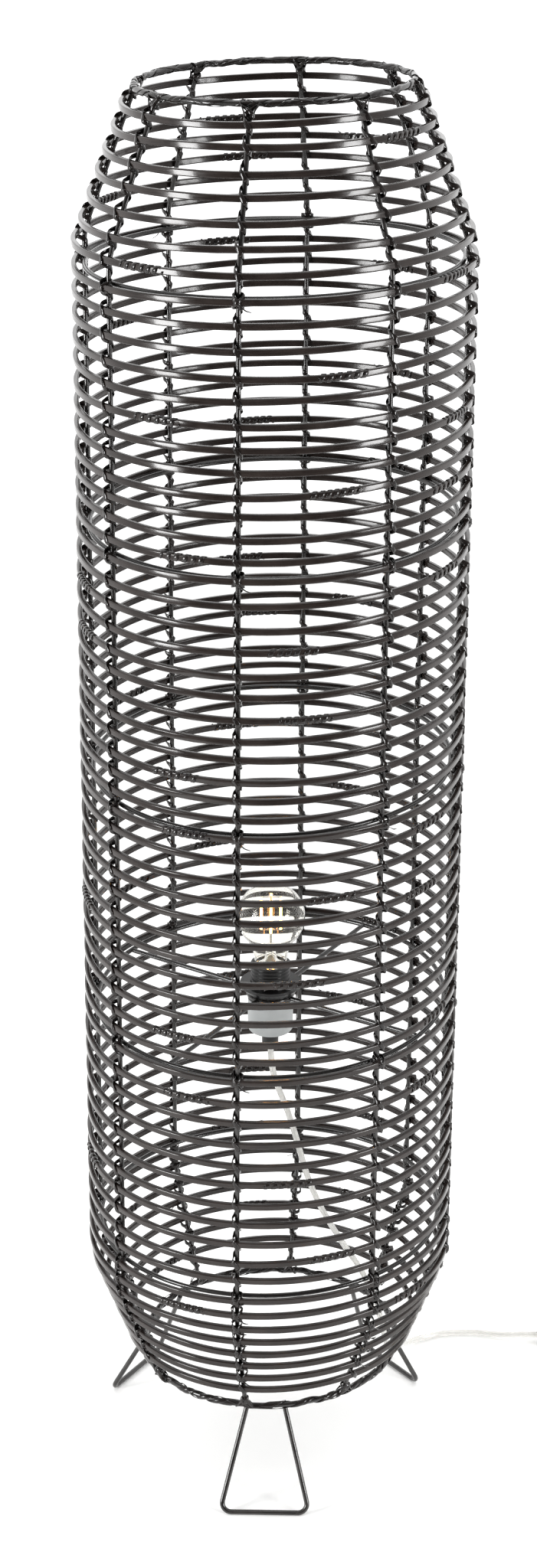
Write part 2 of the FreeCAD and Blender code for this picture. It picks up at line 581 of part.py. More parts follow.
# The black cord grip: a nipple below the sleeve with its head inside it.
grip_waist = "Dims.relief_radius - Dims.sleeve_wall"
grip = fuse("grip_blank", [
    cylinder("grip_nipple", "Dims.relief_radius", "Dims.relief_length - Dims.weld_gap"),
    cylinder("grip_waist", grip_waist, "Dims.sleeve_wall * 2 + Dims.weld_gap * 2",
             z="Dims.relief_length - Dims.weld_gap"),
    cylinder("grip_head", "Dims.relief_head", "Dims.sleeve_wall",
             z="Dims.relief_length + Dims.sleeve_wall * 2 + Dims.weld_gap")])
grip_bore = cylinder("grip_bore", "Dims.cord_diameter / 2 + Dims.relief_bore_gap",
                     "Dims.relief_length * 2", z="-1")
node("cord_grip", place(cut("cord_grip", grip, grip_bore),
                        z="Fits.sleeve_bottom - Dims.relief_length"))


# ---------------------------------------------------------------- lamp bulb
TIP = "Fits.bulb_tip_level"
fit("glass_foot", f"{TIP} + Dims.cap_length + Dims.weld_gap")
doc.recompute()


def bulb_form(name, wall, foot):
    """A globe that flares into a straight neck, turned from a half profile."""
    globe = f"(Dims.bulb_radius - {wall})"
    neck = f"(Dims.bulb_neck - {wall})"
    flare = f"(Dims.bulb_flare + {wall})"
    centre = f"({TIP} + Dims.bulb_centre)"
    drop = f"sqrt(({globe} + {flare}) ^ 2 - ({neck} + {flare}) ^ 2)"
    profile = sketch(f"{name}_profile")
    g, n, f, c, d = (value(x) for x in (globe, neck, flare, centre, drop))
    joint = Vector(0, c, 0) + Vector(n + f, -d, 0) * (g / (g + f))
    flare_centre = Vector(n + f, c - d, 0)
    flare_middle = flare_centre + Vector(-f * math.cos(0.3), f * math.sin(0.3), 0)
    foot_y = value(foot)
    base = profile.addGeometry(Part.LineSegment(Vector(0, foot_y, 0), Vector(n, foot_y, 0)))
    side = profile.addGeometry(Part.LineSegment(Vector(n, foot_y, 0), Vector(n, c - d, 0)))
    sweep = profile.addGeometry(Part.Arc(Vector(n, c - d, 0), flare_middle, joint))
    ball = profile.addGeometry(Part.Arc(joint, Vector(g, c, 0), Vector(0, c + g, 0)))
    axis = profile.addGeometry(Part.LineSegment(Vector(0, c + g, 0), Vector(0, foot_y, 0)))
    for kind, first, first_end, second, second_end in (
            ("Coincident", base, 2, side, 1), ("Tangent", side, 2, sweep, 2),
            ("Tangent", sweep, 1, ball, 1), ("Coincident", ball, 2, axis, 1),
            ("Coincident", axis, 2, base, 1)):
        profile.addConstraint(Sketcher.Constraint(kind, first, first_end, second, second_end))
    profile.addConstraint(Sketcher.Constraint("Horizontal", base))
    profile.addConstraint(Sketcher.Constraint("Vertical", side))
    profile.addConstraint(Sketcher.Constraint("PointOnObject", ball, 2, -2))
    locate(profile, base, 1, "0", foot)
    locate(profile, ball, 3, "0", centre)
    size_arc(profile, ball, globe)
    size_arc(profile, sweep, flare)
    width = profile.addConstraint(Sketcher.Constraint("DistanceX", base, 1, base, 2, n))
    profile.setExpression(f"Constraints[{width}]", neck)
    return revolve(name, profile)


outer_form = bulb_form("globe_outside", "0", "Fits.glass_foot")
inner_form = bulb_form("globe_inside", "Dims.bulb_wall", "(Fits.glass_foot - 1)")
node("bulb_globe", cut("bulb_globe", outer_form, inner_form))

# The stem holds a post; wires that stand out from the post carry the filaments' ends.
stem = add("Part::Cone", "stem_flare", Radius1="Dims.bulb_neck - Dims.bulb_wall * 2",
           Radius2="Dims.stem_radius", Height="Dims.stem_height / 3")
place(stem, z="Fits.glass_foot")
stem_tube = cylinder("stem_tube", "Dims.stem_radius", "Dims.stem_height * 2 / 3",
                     z="Fits.glass_foot + Dims.stem_height / 3")
node("bulb_stem", fuse("bulb_stem", [stem, stem_tube]))
fit("filament_foot", "Fits.bulb_tip_level + Dims.filament_level")
fit("filament_top", "filament_foot + Dims.filament_length")
fit("lead_drop", "Dims.lead_wire / 2 + 0.15")
doc.recompute()
post_foot = "(Fits.glass_foot + Dims.stem_height + 0.1)"
supports = [cylinder("filament_post", "Dims.post_radius",
                     f"Fits.filament_top + Fits.lead_drop + Dims.lead_wire - {post_foot}",
                     z=post_foot)]
for name, level in (("low", "(Fits.filament_foot - Fits.lead_drop)"),
                    ("high", "(Fits.filament_top + Fits.lead_drop)")):
    for number in range(4):
        azimuth = f"(90 * {number})"
        supports.append(cylinder(f"lead_{name}_{number + 1}", "Dims.lead_wire / 2",
                                 "Dims.filament_circle - Dims.post_radius * 0.3",
                                 x=f"Dims.post_radius * 0.7 * cos({azimuth})",
                                 y=f"Dims.post_radius * 0.7 * sin({azimuth})", z=level,
                                 turn=[about("z", azimuth), about("y", "90")]))
node("filament_supports", fuse("filament_supports", supports))
filaments = [cylinder(f"filament_{number + 1}", "Dims.filament_radius", "Dims.filament_length",
                      x=f"Dims.filament_circle * cos(90 * {number})",
                      y=f"Dims.filament_circle * sin(90 * {number})", z="Fits.filament_foot")
             for number in range(4)]
node("bulb_filaments", group("bulb_filaments", filaments))

# The screw cap: a thin shell with rolled crests, a black glass foot and a solder tip.
cap_foot = f"({TIP} + Dims.cap_tip + Dims.cap_glass)"
cap_height = "(Dims.cap_length - Dims.cap_tip - Dims.cap_glass)"
cap_parts = [cylinder("cap_core", "Dims.cap_core", cap_height, z=cap_foot)]
for turn in range(5):
    crest = add("Part::Torus", f"cap_crest_{turn + 1}", Radius1="Dims.cap_crest - 1",
                Radius2="1")
    cap_parts.append(place(crest, z=f"{cap_foot} + Dims.cap_pitch * {turn + 0.8}"))
cap_hollow = cylinder("cap_hollow", "Dims.cap_core - Dims.cap_wall", f"{cap_height} + 2",
                      z=f"{cap_foot} - 1")
node("bulb_cap", cut("bulb_cap", fuse("cap_blank", cap_parts), cap_hollow))
vitrite = add("Part::Cone", "cap_insulator", Radius1="Dims.cap_tip * 3.4",
              Radius2="Dims.cap_core", Height="Dims.cap_glass - Dims.weld_gap / 2")
node("cap_insulator", place(vitrite, z=f"{TIP} + Dims.cap_tip"))
node("cap_contact", cylinder("cap_contact", "Dims.cap_tip * 3", "Dims.cap_tip - 0.1", z=TIP))


# ---------------------------------------------------------------- cord, switch and plug
cord_radius = value("Dims.cord_diameter / 2")
floor = cord_radius + value("Dims.floor_gap")
holder_exit = value("Fits.sleeve_bottom")
switch_start = value("Dims.switch_x")
switch_end = value("Dims.switch_x + Dims.switch_length")
switch_row = value("Dims.switch_y")
switch_mouth = value("Dims.switch_height / 2")
plug_back = value("Dims.plug_x + Dims.plug_length")
plug_row = value("Dims.plug_y")
plug_mouth = value("Dims.plug_height / 2")
coil_centre = Vector(value("Dims.coil_x"), value("Dims.coil_y"), 0)
coil_floor = cord_radius + value("Dims.tie_thick") + 0.2

# From the grip straight down, across to the right inside the cage, out under the bottom
# rim through the right leg, and along the floor to the switch.
DROP_ROUTE = [
    (0, 0, holder_exit), (0, 0, 378), (4, 0, 354), (16, 2, 322), (25, 4, 289), (34.5, 7, 250),
    (48.5, 11, 214), (67, 15.5, 179), (88, 20.5, 143), (101.5, 25, 103), (108, 40, 68),
    (112, 70, 37), (119, 100, 14), (134, 126, floor + 1), (162, 143, floor), (197, 147, floor),
    (224, 140, floor + 1), (246, switch_row, switch_mouth),
    (switch_start - 0.25, switch_row, switch_mouth),
]


def rounded_route(points, label):
    """Straight runs with the largest tangent arc at each point; prints the tightest radius."""
    spots = [Vector(*point) for point in points]
    edges = []
    radii = []
    here = spots[0]
    for before, corner, after in zip(spots, spots[1:], spots[2:]):
        into = (corner - before).normalize()
        out = (after - corner).normalize()
        turn = into.getAngle(out)
        trim = 0.45 * min((corner - before).Length, (after - corner).Length)
        radii.append(trim / math.tan(turn / 2))
        first = corner - into * trim
        last = corner + out * trim
        bisector = (out - into).normalize()
        centre = corner + bisector * (trim / math.sin(turn / 2))
        middle = centre - bisector * radii[-1]
        edges.append(Part.LineSegment(here, first).toShape())
        edges.append(Part.Arc(first, middle, last).toShape())
        here = last
    edges.append(Part.LineSegment(here, spots[-1]).toShape())
    print(f"{label}: arc radii {[round(radius, 1) for radius in radii]}")
    return edges


def biarc(start, heading, end, leaving):
    """Two arcs that join two points with the given headings and meet in one tangent."""
    gap = end - start
    total = heading + leaving
    a = total.dot(total) - 4
    b = -2 * gap.dot(total)
    reach = (-b - math.sqrt(b * b - 4 * a * gap.dot(gap))) / (2 * a)
    knee_in = start + heading * reach
    knee_out = end - leaving * reach
    joint = (knee_in + knee_out) * 0.5
    arcs = []
    for first, knee, last in ((start, knee_in, joint), (joint, knee_out, end)):
        chord = last - first
        height = (knee - first).Length
        bulge = ((first - knee).normalize() + (last - knee).normalize()).normalize()
        half_angle = math.asin(min(1, chord.Length / 2 / height))
        radius = height * math.tan(half_angle)
        centre_gap = math.hypot(radius, height)
        middle = knee + bulge * (centre_gap - radius)
        arcs.append(Part.Arc(first, middle, last).toShape())
    return arcs


def coil_point(angle):
    """The coil at an angle: in along the floor, up a layer in a half turn, and out again."""
    pitch = value("Dims.coil_pitch")
    turns = value("Dims.coil_turns")
    middle = value("Dims.coil_radius")
    inward = 2 * math.pi * turns
    inner = middle - pitch * turns / 2
    spiral = pitch / (2 * math.pi)
    reverse = math.pi
    if angle <= inward:
        radius = inner + spiral * (inward - angle)
        level = 0
    elif angle <= inward + reverse:
        radius = inner - spiral * math.sin(angle - inward)
        level = pitch * 0.5 * (1 - math.cos(angle - inward))
    else:
        radius = inner + spiral * (angle - inward - reverse)
        level = pitch
    # seen from above the coil runs clockwise from its right-hand side
    return coil_centre + Vector(radius * math.cos(angle), -radius * math.sin(angle),
                                coil_floor + level)


def coil_edges():
    quarter = math.pi / 2
    quarters = int(round(8 * value("Dims.coil_turns"))) + 2
    edges = []
    points = []
    step = 1e-4
    for i in range(quarters + 1):
        ahead = coil_point(i * quarter + step)
        behind = coil_point(i * quarter - step)
        heading = (ahead - behind).normalize()
        if i in (0, quarters):
            heading.z = 0
            heading = Vector(0, heading.y, 0).normalize()
        points.append((coil_point(i * quarter), heading))
    for (start, heading), (end, leaving) in zip(points, points[1:]):
        edges += biarc(start, heading, end, leaving)
    return edges, points[0], points[-1]


def cord_solid(edges, label):
    """The cord's round section swept along its route."""
    spine = Part.Wire(edges)
    start = edges[0].valueAt(edges[0].FirstParameter)
    heading = edges[0].tangentAt(edges[0].FirstParameter)
    section = Part.Wire([Part.Circle(start, heading, cord_radius).toShape()])
    solid = spine.makePipeShell([section], True, False)
    ratio = solid.Volume / (math.pi * cord_radius ** 2 * spine.Length)
    print(f"{label}: length {spine.Length:.0f}, volume over section times length {ratio:.4f}")
    return solid, spine


def least_self_gap(spine, label):
    """The smallest gap between turns, measured on points along the route."""
    points = spine.discretize(Distance=1.5)
    skip = 16
    gap = min((points[i] - points[j]).Length
              for i in range(len(points)) for j in range(i + skip, len(points)))
    print(f"{label}: least gap to itself {gap - 2 * cord_radius:.2f}")


def cord_piece(label, edges):
    solid, spine = cord_solid(edges, label)
    piece = doc.addObject("Part::Feature", label)
    piece.Shape = solid
    node(label, piece)
    return spine


cord_piece("cord_drop", rounded_route(DROP_ROUTE, "cord_drop"))

coil, (coil_in, coil_heading), (coil_out, coil_leaving) = coil_edges()
bend = coil_in.x - switch_end - 4
near, far = bend * math.tan(math.pi / 12), bend * (1 - math.sqrt(0.5) / math.cos(math.pi / 12))
LEAD_IN = [
    (switch_end + 0.25, switch_row, switch_mouth),
    (coil_in.x - bend + near, switch_row, switch_mouth),
    (coil_in.x - far, switch_row - far, switch_mouth - 2),
    (coil_in.x, switch_row - bend + near, coil_floor + 1),
    (coil_in.x, coil_in.y + 18, coil_floor), (coil_in.x, coil_in.y, coil_floor),
]
LEAD_OUT = [
    (coil_out.x, coil_out.y, coil_out.z), (coil_out.x, coil_out.y - 18, coil_out.z),
    (coil_out.x, plug_row + bend - near, plug_mouth),
    (coil_out.x - far, plug_row + far, plug_mouth),
    (coil_out.x - bend + near, plug_row, plug_mouth),
    (plug_back + 0.25, plug_row, plug_mouth),
]
coil_spine = cord_piece("cord_coil", rounded_route(LEAD_IN, "lead in") + coil
                        + rounded_route(LEAD_OUT, "lead out"))
least_self_gap(coil_spine, "cord_coil")

# A flat tie closed round all the turns on the coil's right side.
fit("coil_half", "Dims.coil_pitch * Dims.coil_turns / 2 + Dims.cord_diameter / 2 + 0.8")
doc.recompute()
tie_outside = place(add("Part::Box", "tie_outside", Length="2 * (Fits.coil_half + Dims.tie_thick)",
                        Width="Dims.tie_width", Height="Dims.coil_pitch + Dims.cord_diameter"
                                                       " + 2 * Dims.tie_thick + 0.6"),
                    x="-Fits.coil_half - Dims.tie_thick", y="-Dims.tie_width / 2")
tie_inside = place(add("Part::Box", "tie_inside", Length="2 * Fits.coil_half",
                       Width="Dims.tie_width + 2",
                       Height="Dims.coil_pitch + Dims.cord_diameter + 0.6"),
                   x="-Fits.coil_half", y="-Dims.tie_width / 2 - 1", z="Dims.tie_thick")
node("coil_tie", place(cut("coil_tie", tie_outside, tie_inside),
                       x="Dims.coil_x + Dims.coil_radius", y="Dims.coil_y"))


def soft_box(name, length, width, height, corner, **where):
    """A moulded block with its upright edges rounded."""
    block = add("Part::Box", f"{name}_block", Length=length, Width=width, Height=height)
    doc.recompute()
    upright = [i for i, edge in enumerate(block.Shape.Edges, 1)
               if abs(edge.tangentAt(edge.FirstParameter).z) > 0.9]
    rounded = doc.addObject("Part::Fillet", name)
    rounded.Base = block
    rounded.Edges = [(i, corner, corner) for i in upright]
    return place(rounded, **where)


# The in-line switch: a lower and an upper half, with a rocker on a cross pin between them.
fit("rocker_x", "Dims.switch_x + Dims.switch_length / 2")
fit("rocker_level", "Dims.switch_height - Dims.switch_wall * 1.5")
doc.recompute()
SWITCH_CORNER = 6
low_half = soft_box("switch_low_half", "Dims.switch_length", "Dims.switch_width",
                    "Dims.switch_height / 2 - Dims.weld_gap / 2", SWITCH_CORNER)
high_half = soft_box("switch_high_half", "Dims.switch_length", "Dims.switch_width",
                     "Dims.switch_height / 2 - Dims.weld_gap / 2", SWITCH_CORNER,
                     z="Dims.switch_height / 2 + Dims.weld_gap / 2")
chamber = place(add("Part::Box", "switch_chamber", Length="Dims.rocker_length + 2",
                    Width="Dims.rocker_width + Dims.running_gap * 2", Height="Dims.switch_height"),
                x="Dims.switch_length / 2 - Dims.rocker_length / 2 - 1",
                y="Dims.switch_width / 2 - Dims.rocker_width / 2 - Dims.running_gap",
                z="Dims.switch_wall")
switch_halves = group("switch_halves", [cut("switch_low", low_half, chamber),
                                        cut("switch_high", high_half, chamber)])
node("switch_housing", place(switch_halves, x="Dims.switch_x",
                             y="Dims.switch_y - Dims.switch_width / 2"))
rocker_body = add("Part::Cylinder", "rocker_drum", Radius="Dims.rocker_length / 2",
                  Height="Dims.rocker_width")
place(rocker_body, y="Dims.rocker_width / 2", z="-Dims.switch_wall * 1.2",
      turn=[about("x", "90")])
rocker_trim = place(add("Part::Box", "rocker_trim", Length="Dims.rocker_length + 2",
                        Width="Dims.rocker_width + 2", Height="Dims.rocker_length"),
                    x="-Dims.rocker_length / 2 - 1", y="-Dims.rocker_width / 2 - 1",
                    z="Dims.switch_wall * 1.4")
rocker_floor = place(add("Part::Box", "rocker_floor", Length="Dims.rocker_length + 2",
                         Width="Dims.rocker_width + 2", Height="Dims.rocker_length"),
                     x="-Dims.rocker_length / 2 - 1", y="-Dims.rocker_width / 2 - 1",
                     z="-Dims.rocker_length - Dims.switch_wall * 1.4")
rocker = cut("switch_rocker", rocker_body, group("rocker_tools", [rocker_trim, rocker_floor]))
node("switch_rocker", place(rocker, x="Fits.rocker_x", y="Dims.switch_y", z="Fits.rocker_level",
                            turn=[about("y", "Dims.rocker_tilt")]))

# The plug: a moulded body with two round pins.
PLUG_CORNER = 5
plug_body = soft_box("plug_body", "Dims.plug_length", "Dims.plug_width", "Dims.plug_height",
                     PLUG_CORNER, x="Dims.plug_x", y="Dims.plug_y - Dims.plug_width / 2")
node("plug_body", plug_body)
pins = [cylinder(f"plug_pin_{number + 1}", "Dims.pin_radius", "Dims.pin_length",
                 x="Dims.plug_x - Dims.pin_length",
                 y=f"Dims.plug_y + Dims.pin_spacing * {number - 0.5}",
                 z="Dims.plug_height / 2", turn=[about("y", "90")])
        for number in range(2)]
node("plug_pins", group("plug_pins", pins))


# ---------------------------------------------------------------- checks and files
doc.recompute()
for piece in doc.Objects:
    if {"Invalid", "Error"} & set(piece.State):
        raise RuntimeError(f"{piece.Name} did not compute: {piece.State}")
for piece in nodes:
    if piece.Shape.isNull() or not piece.Shape.isValid() or not piece.Shape.Solids:
        raise RuntimeError(f"{piece.Label} has no valid shape")
os.makedirs("parts", exist_ok=True)
for piece in nodes:
    piece.Shape.exportStep(f"parts/{piece.Label}.step")
print(f"{len(nodes)} nodes, {sum(len(piece.Shape.Solids) for piece in nodes)} solids")
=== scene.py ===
import math
import bpy
import numpy as np
from mathutils import Matrix, Vector


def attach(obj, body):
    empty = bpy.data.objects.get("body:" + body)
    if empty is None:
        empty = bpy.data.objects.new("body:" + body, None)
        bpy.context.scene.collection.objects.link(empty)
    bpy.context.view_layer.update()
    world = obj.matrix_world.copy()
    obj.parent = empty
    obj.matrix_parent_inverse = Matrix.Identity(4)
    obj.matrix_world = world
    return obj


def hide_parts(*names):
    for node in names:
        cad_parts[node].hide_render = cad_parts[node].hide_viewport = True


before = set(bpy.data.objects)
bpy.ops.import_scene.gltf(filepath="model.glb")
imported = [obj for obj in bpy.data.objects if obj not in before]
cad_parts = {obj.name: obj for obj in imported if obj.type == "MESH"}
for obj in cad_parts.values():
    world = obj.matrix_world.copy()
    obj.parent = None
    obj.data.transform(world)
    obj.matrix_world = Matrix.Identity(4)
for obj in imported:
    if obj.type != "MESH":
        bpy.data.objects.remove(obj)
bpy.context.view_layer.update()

# ------------------------------------------------------------------ camera
# A long lens a little above the rim, looking down along +Y.  The shift and the small
# roll put the lamp where the photograph has it.
IMAGE_W, IMAGE_H = 701, 2048
FOCAL_PX, AXIS_PX = 3905.9, 354.76
CAMERA_BACK, CAMERA_UP = 2.3639, 1.57987
LOOK_DOWN, ROLL = 0.380, 0.006
SENSOR = 24
camera_data = bpy.data.cameras.new("camera")
camera = bpy.data.objects.new("camera", camera_data)
bpy.context.scene.collection.objects.link(camera)
bpy.context.scene.camera = camera
camera_data.sensor_fit = "VERTICAL"
camera_data.sensor_height = SENSOR
camera_data.lens = SENSOR * FOCAL_PX / IMAGE_H
camera_data.shift_x = -(AXIS_PX - IMAGE_W / 2) / IMAGE_H
camera_data.clip_start = 0.05
camera_data.clip_end = 50
camera.matrix_world = (Matrix.Translation((0, -CAMERA_BACK, CAMERA_UP))
                       @ Matrix.Rotation(math.pi / 2 - LOOK_DOWN, 4, "X")
                       @ Matrix.Rotation(ROLL, 4, "Z"))


# ------------------------------------------------------------------ studio
# White paper that ends before the camera, white surroundings that darken behind it, a low
# soft box on each side and a large one above: the upper hoops mirror the dark side of the
# room, with two pale patches.
def rgb(hex_colour):
    """An sRGB hex colour as the linear RGBA that the shader sockets take."""
    parts = [int(hex_colour[i:i + 2], 16) / 255 for i in (1, 3, 5)]
    return [c / 12.92 if c <= 0.04045 else ((c + 0.055) / 1.055) ** 2.4 for c in parts] + [1]


def feed(tree, made, links):
    """Joins other nodes' outputs to a node's inputs."""
    for socket, source in links.items():
        tree.links.new(source, made.inputs[socket])


def add_node(tree, kind, links=None, **settings):
    """Adds a shader node; links feed its inputs, settings set inputs or properties."""
    made = tree.nodes.new(kind)
    for key, setting in settings.items():
        if hasattr(made, key):
            setattr(made, key, setting)
        else:
            made.inputs[key.replace("_", " ")].default_value = setting
    feed(tree, made, links or {})
    return made


def finish(name, **settings):
    """A new material and its shader, with the settings that hold all over the surface."""
    made = bpy.data.materials.new(name)
    made.use_nodes = True
    shader = made.node_tree.nodes["Principled BSDF"]
    for socket, setting in settings.items():
        shader.inputs[socket.replace("_", " ")].default_value = setting
    return made, made.node_tree, shader


def repeats(millimetres):
    """A pattern's scale, from the real size of its grain or marks."""
    return 1000 / millimetres


bpy.context.scene.view_settings.view_transform = "Standard"
world = bpy.data.worlds.new("studio")
bpy.context.scene.world = world
world.use_nodes = True
tree = world.node_tree
tree.nodes.clear()
direction = add_node(tree, "ShaderNodeTexCoord")
split = add_node(tree, "ShaderNodeSeparateXYZ", {"Vector": direction.outputs["Generated"]})
fall = add_node(tree, "ShaderNodeMapRange", {"Value": split.outputs["Y"]},
                From_Min=-0.65, From_Max=0.3, To_Min=0.1, To_Max=1.45)
# looked at directly or through the glass, the surroundings are white on every side
ray = add_node(tree, "ShaderNodeLightPath")
seen = add_node(tree, "ShaderNodeMath", {0: ray.outputs["Is Camera Ray"],
                                         1: ray.outputs["Is Transmission Ray"]},
                operation="MAXIMUM")
bright = add_node(tree, "ShaderNodeMath", {0: fall.outputs["Result"], 1: seen.outputs[0]},
                  operation="MAXIMUM")
sky = add_node(tree, "ShaderNodeBackground", {"Strength": bright.outputs[0]},
               Color=rgb("#ffffff"))
tree.links.new(sky.outputs[0], add_node(tree, "ShaderNodeOutputWorld").inputs["Surface"])

PAPER_SIDE, PAPER_FRONT, PAPER_BACK = 1.4, -1.5, 3.0
floor_mesh = bpy.data.meshes.new("floor")
floor_mesh.from_pydata([(-PAPER_SIDE, PAPER_FRONT, 0), (PAPER_SIDE, PAPER_FRONT, 0),
                        (PAPER_SIDE, PAPER_BACK, 0), (-PAPER_SIDE, PAPER_BACK, 0)],
                       [], [(0, 1, 2, 3)])
floor = bpy.data.objects.new("floor", floor_mesh)
bpy.context.scene.collection.objects.link(floor)

# Matte paper.  Its tooth is too fine to show and is drawn coarser, and a slight glow keeps
# the shadows as pale as the photograph's.
paper, tree, shader = finish("studio_floor", Base_Color=rgb("#f4f4f3"), Roughness=0.7,
                             Emission_Color=rgb("#ffffff"), Emission_Strength=0.12)
where = add_node(tree, "ShaderNodeTexCoord").outputs["Object"]
tooth = add_node(tree, "ShaderNodeTexNoise", {"Vector": where}, Scale=repeats(3), Detail=3.0)
relief = add_node(tree, "ShaderNodeBump", {"Height": tooth.outputs["Fac"]}, Strength=0.02,
                  Distance=0.0002)
feed(tree, shader, {"Normal": relief.outputs["Normal"]})
floor_mesh.materials.append(paper)


def soft_box(name, spot, target, width, height, power):
    light = bpy.data.lights.new(name, "AREA")
    light.shape = "RECTANGLE"
    light.size, light.size_y = width, height
    light.energy = power
    lamp = bpy.data.objects.new(name, light)
    lamp.location = spot
    lamp.rotation_euler = (Vector(target) - Vector(spot)).to_track_quat("-Z", "Y").to_euler()
    bpy.context.scene.collection.objects.link(lamp)


soft_box("left_box", (-2.15, -1.2, 0.82), (0, 0, 0.85), 0.62, 1.1, 60)
soft_box("right_box", (2.1, -1.45, 0.82), (0, 0, 0.85), 0.62, 1.1, 50)
soft_box("top_box", (0.2, -0.4, 3.2), (0, 0, 0.6), 2.2, 2.2, 20)

# ------------------------------------------------------------------ painted steel wire
# Rims, rings, ribs, legs and the holder's arms are drawn steel wire, bent, welded together
# and dipped in gloss black paint.  The CAD wires keep their shapes.

# Dipped gloss paint: a hard shine over soft runs, turning dull where dust has settled.
steel, tree, shader = finish("gloss_black_paint_on_wire", Coat_Weight=0.4, Coat_Roughness=0.12)
where = add_node(tree, "ShaderNodeTexCoord").outputs["Object"]
dust = add_node(tree, "ShaderNodeTexNoise", {"Vector": where}, Scale=repeats(18), Detail=5.0)
tone = add_node(tree, "ShaderNodeValToRGB", {"Fac": dust.outputs["Fac"]})
tone.color_ramp.elements[0].color = rgb("#171514")
tone.color_ramp.elements[0].position = 0.35
tone.color_ramp.elements[1].color = rgb("#2c2927")
tone.color_ramp.elements[1].position = 0.75
dull = add_node(tree, "ShaderNodeMapRange", {"Value": dust.outputs["Fac"]},
                From_Min=0.3, From_Max=0.75, To_Min=0.16, To_Max=0.38)
runs = add_node(tree, "ShaderNodeTexNoise", {"Vector": where}, Scale=repeats(2.4), Detail=2.0)
relief = add_node(tree, "ShaderNodeBump", {"Height": runs.outputs["Fac"]}, Strength=0.25,
                  Distance=0.0002)
feed(tree, shader, {"Base Color": tone.outputs["Color"], "Roughness": dull.outputs["Result"],
                    "Normal": relief.outputs["Normal"]})


def dress(node, material):
    """A CAD node that keeps its shape takes a finish."""
    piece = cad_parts[node]
    piece.data.materials.clear()
    piece.data.materials.append(material)
    for polygon in piece.data.polygons:
        polygon.use_smooth = True


ribs = [f"rib_{number}" for number in range(1, 9)]
for node in ribs + ["top_rim_ring", "bottom_rim_ring", "upper_shoulder_ring", "upper_body_ring",
                    "middle_body_ring", "lampholder_ring", "lower_shoulder_ring", "front_leg",
                    "left_leg", "right_leg", "bracket_ring", "bracket_arms"]:
    dress(node, steel)

# ------------------------------------------------------------------ cane hoops
# The hoops are flat-oval cane, stained black: each is one length that wanders a little,
# with its two ends pared thin and lapped.  Heights and radii follow the cage's own shape.
BODY_R, TOP_R, BOTTOM_R = 160.0, 109.5, 115.0
TOP_Z, BOTTOM_Z, HIGH_SHOULDER, LOW_SHOULDER = 1225.0, 91.0, 1102.0, 198.0
HIGH_RING, LOW_RING = 1087.0, 225.0
# the five inner rings, from the upper shoulder down; the fourth carries the lampholder
RING_Z = [LOW_RING + (HIGH_RING - LOW_RING) * share for share in (1, 0.752, 0.505, 0.2495, 0)]
# the cage leans: its hoops rise to the right and, between the shoulders, to the back too
LEAN, BACK_RISE = math.radians(1.6), math.radians(3.4)
CANE_HIGH, CANE_THICK, WIRE, GAP = 5.4, 4.2, 4.0, 0.4
RIB_TURN, RIB_STEP = -10, 45
RIB_R = BODY_R - CANE_THICK / 2 - GAP - WIRE / 2
TAPER = {"top": (RIB_R - TOP_R) / (TOP_Z - HIGH_SHOULDER),
         "bottom": (RIB_R - BOTTOM_R) / (LOW_SHOULDER - BOTTOM_Z)}
# how far outside the ribs' line the hoops of each taper lie
OFFSET = {}
for end, taper in TAPER.items():
    c = 1 / math.sqrt(1 + taper ** 2)
    half = math.hypot(CANE_THICK / 2 * c, CANE_HIGH / 2 * taper * c)
    OFFSET[end] = (half + GAP + WIRE / 2) / c


def rib_azimuth(number):
    return math.radians(RIB_TURN + RIB_STEP * number)


def cage_radius(z):
    """The hoops' radius at a height."""
    return min(BODY_R, TOP_R + OFFSET["top"] + TAPER["top"] * (TOP_Z - z),
               BOTTOM_R + OFFSET["bottom"] + TAPER["bottom"] * (z - BOTTOM_Z))


def back_rise(z):
    """The hoops' slope to the back at a height, as an angle."""
    if not RING_Z[4] < z < RING_Z[0]:
        return 0.0
    return BACK_RISE * math.sin(math.pi * (z - RING_Z[4]) / (RING_Z[0] - RING_Z[4]))


def tilted(radius, azimuth, z, rise, shift):
    """A point on a leaning circle; azimuths run from the front, -Y, towards +X."""
    x, y = radius * np.sin(azimuth), -radius * np.cos(azimuth)
    y, up = y * math.cos(rise), y * math.sin(rise)
    return np.stack([x * math.cos(LEAN) - up * math.sin(LEAN) + shift, y,
                     z + x * math.sin(LEAN) + up * math.cos(LEAN)], axis=-1)


FIRST_HOOP_DROP, LAST_HOOP_RISE = 14, 25
# each course: its hoops, from one height to another in so many steps, the first step that has
# a hoop, and how far the middle of the course is crowded upwards
COURSES = [("top_taper_hoops", TOP_Z - FIRST_HOOP_DROP, RING_Z[0], 7, 0, 1.8),
           ("upper_body_hoops", RING_Z[0], RING_Z[1], 12, 1, -4.5),
           ("upper_middle_hoops", RING_Z[1], RING_Z[2], 12, 1, -5),
           ("lower_middle_hoops", RING_Z[2], RING_Z[3], 12, 1, -1.5),
           ("lower_body_hoops", RING_Z[3], RING_Z[4], 11, 1, -2.7),
           ("bottom_taper_hoops", RING_Z[4], BOTTOM_Z + LAST_HOOP_RISE, 7, 1, 1.5)]
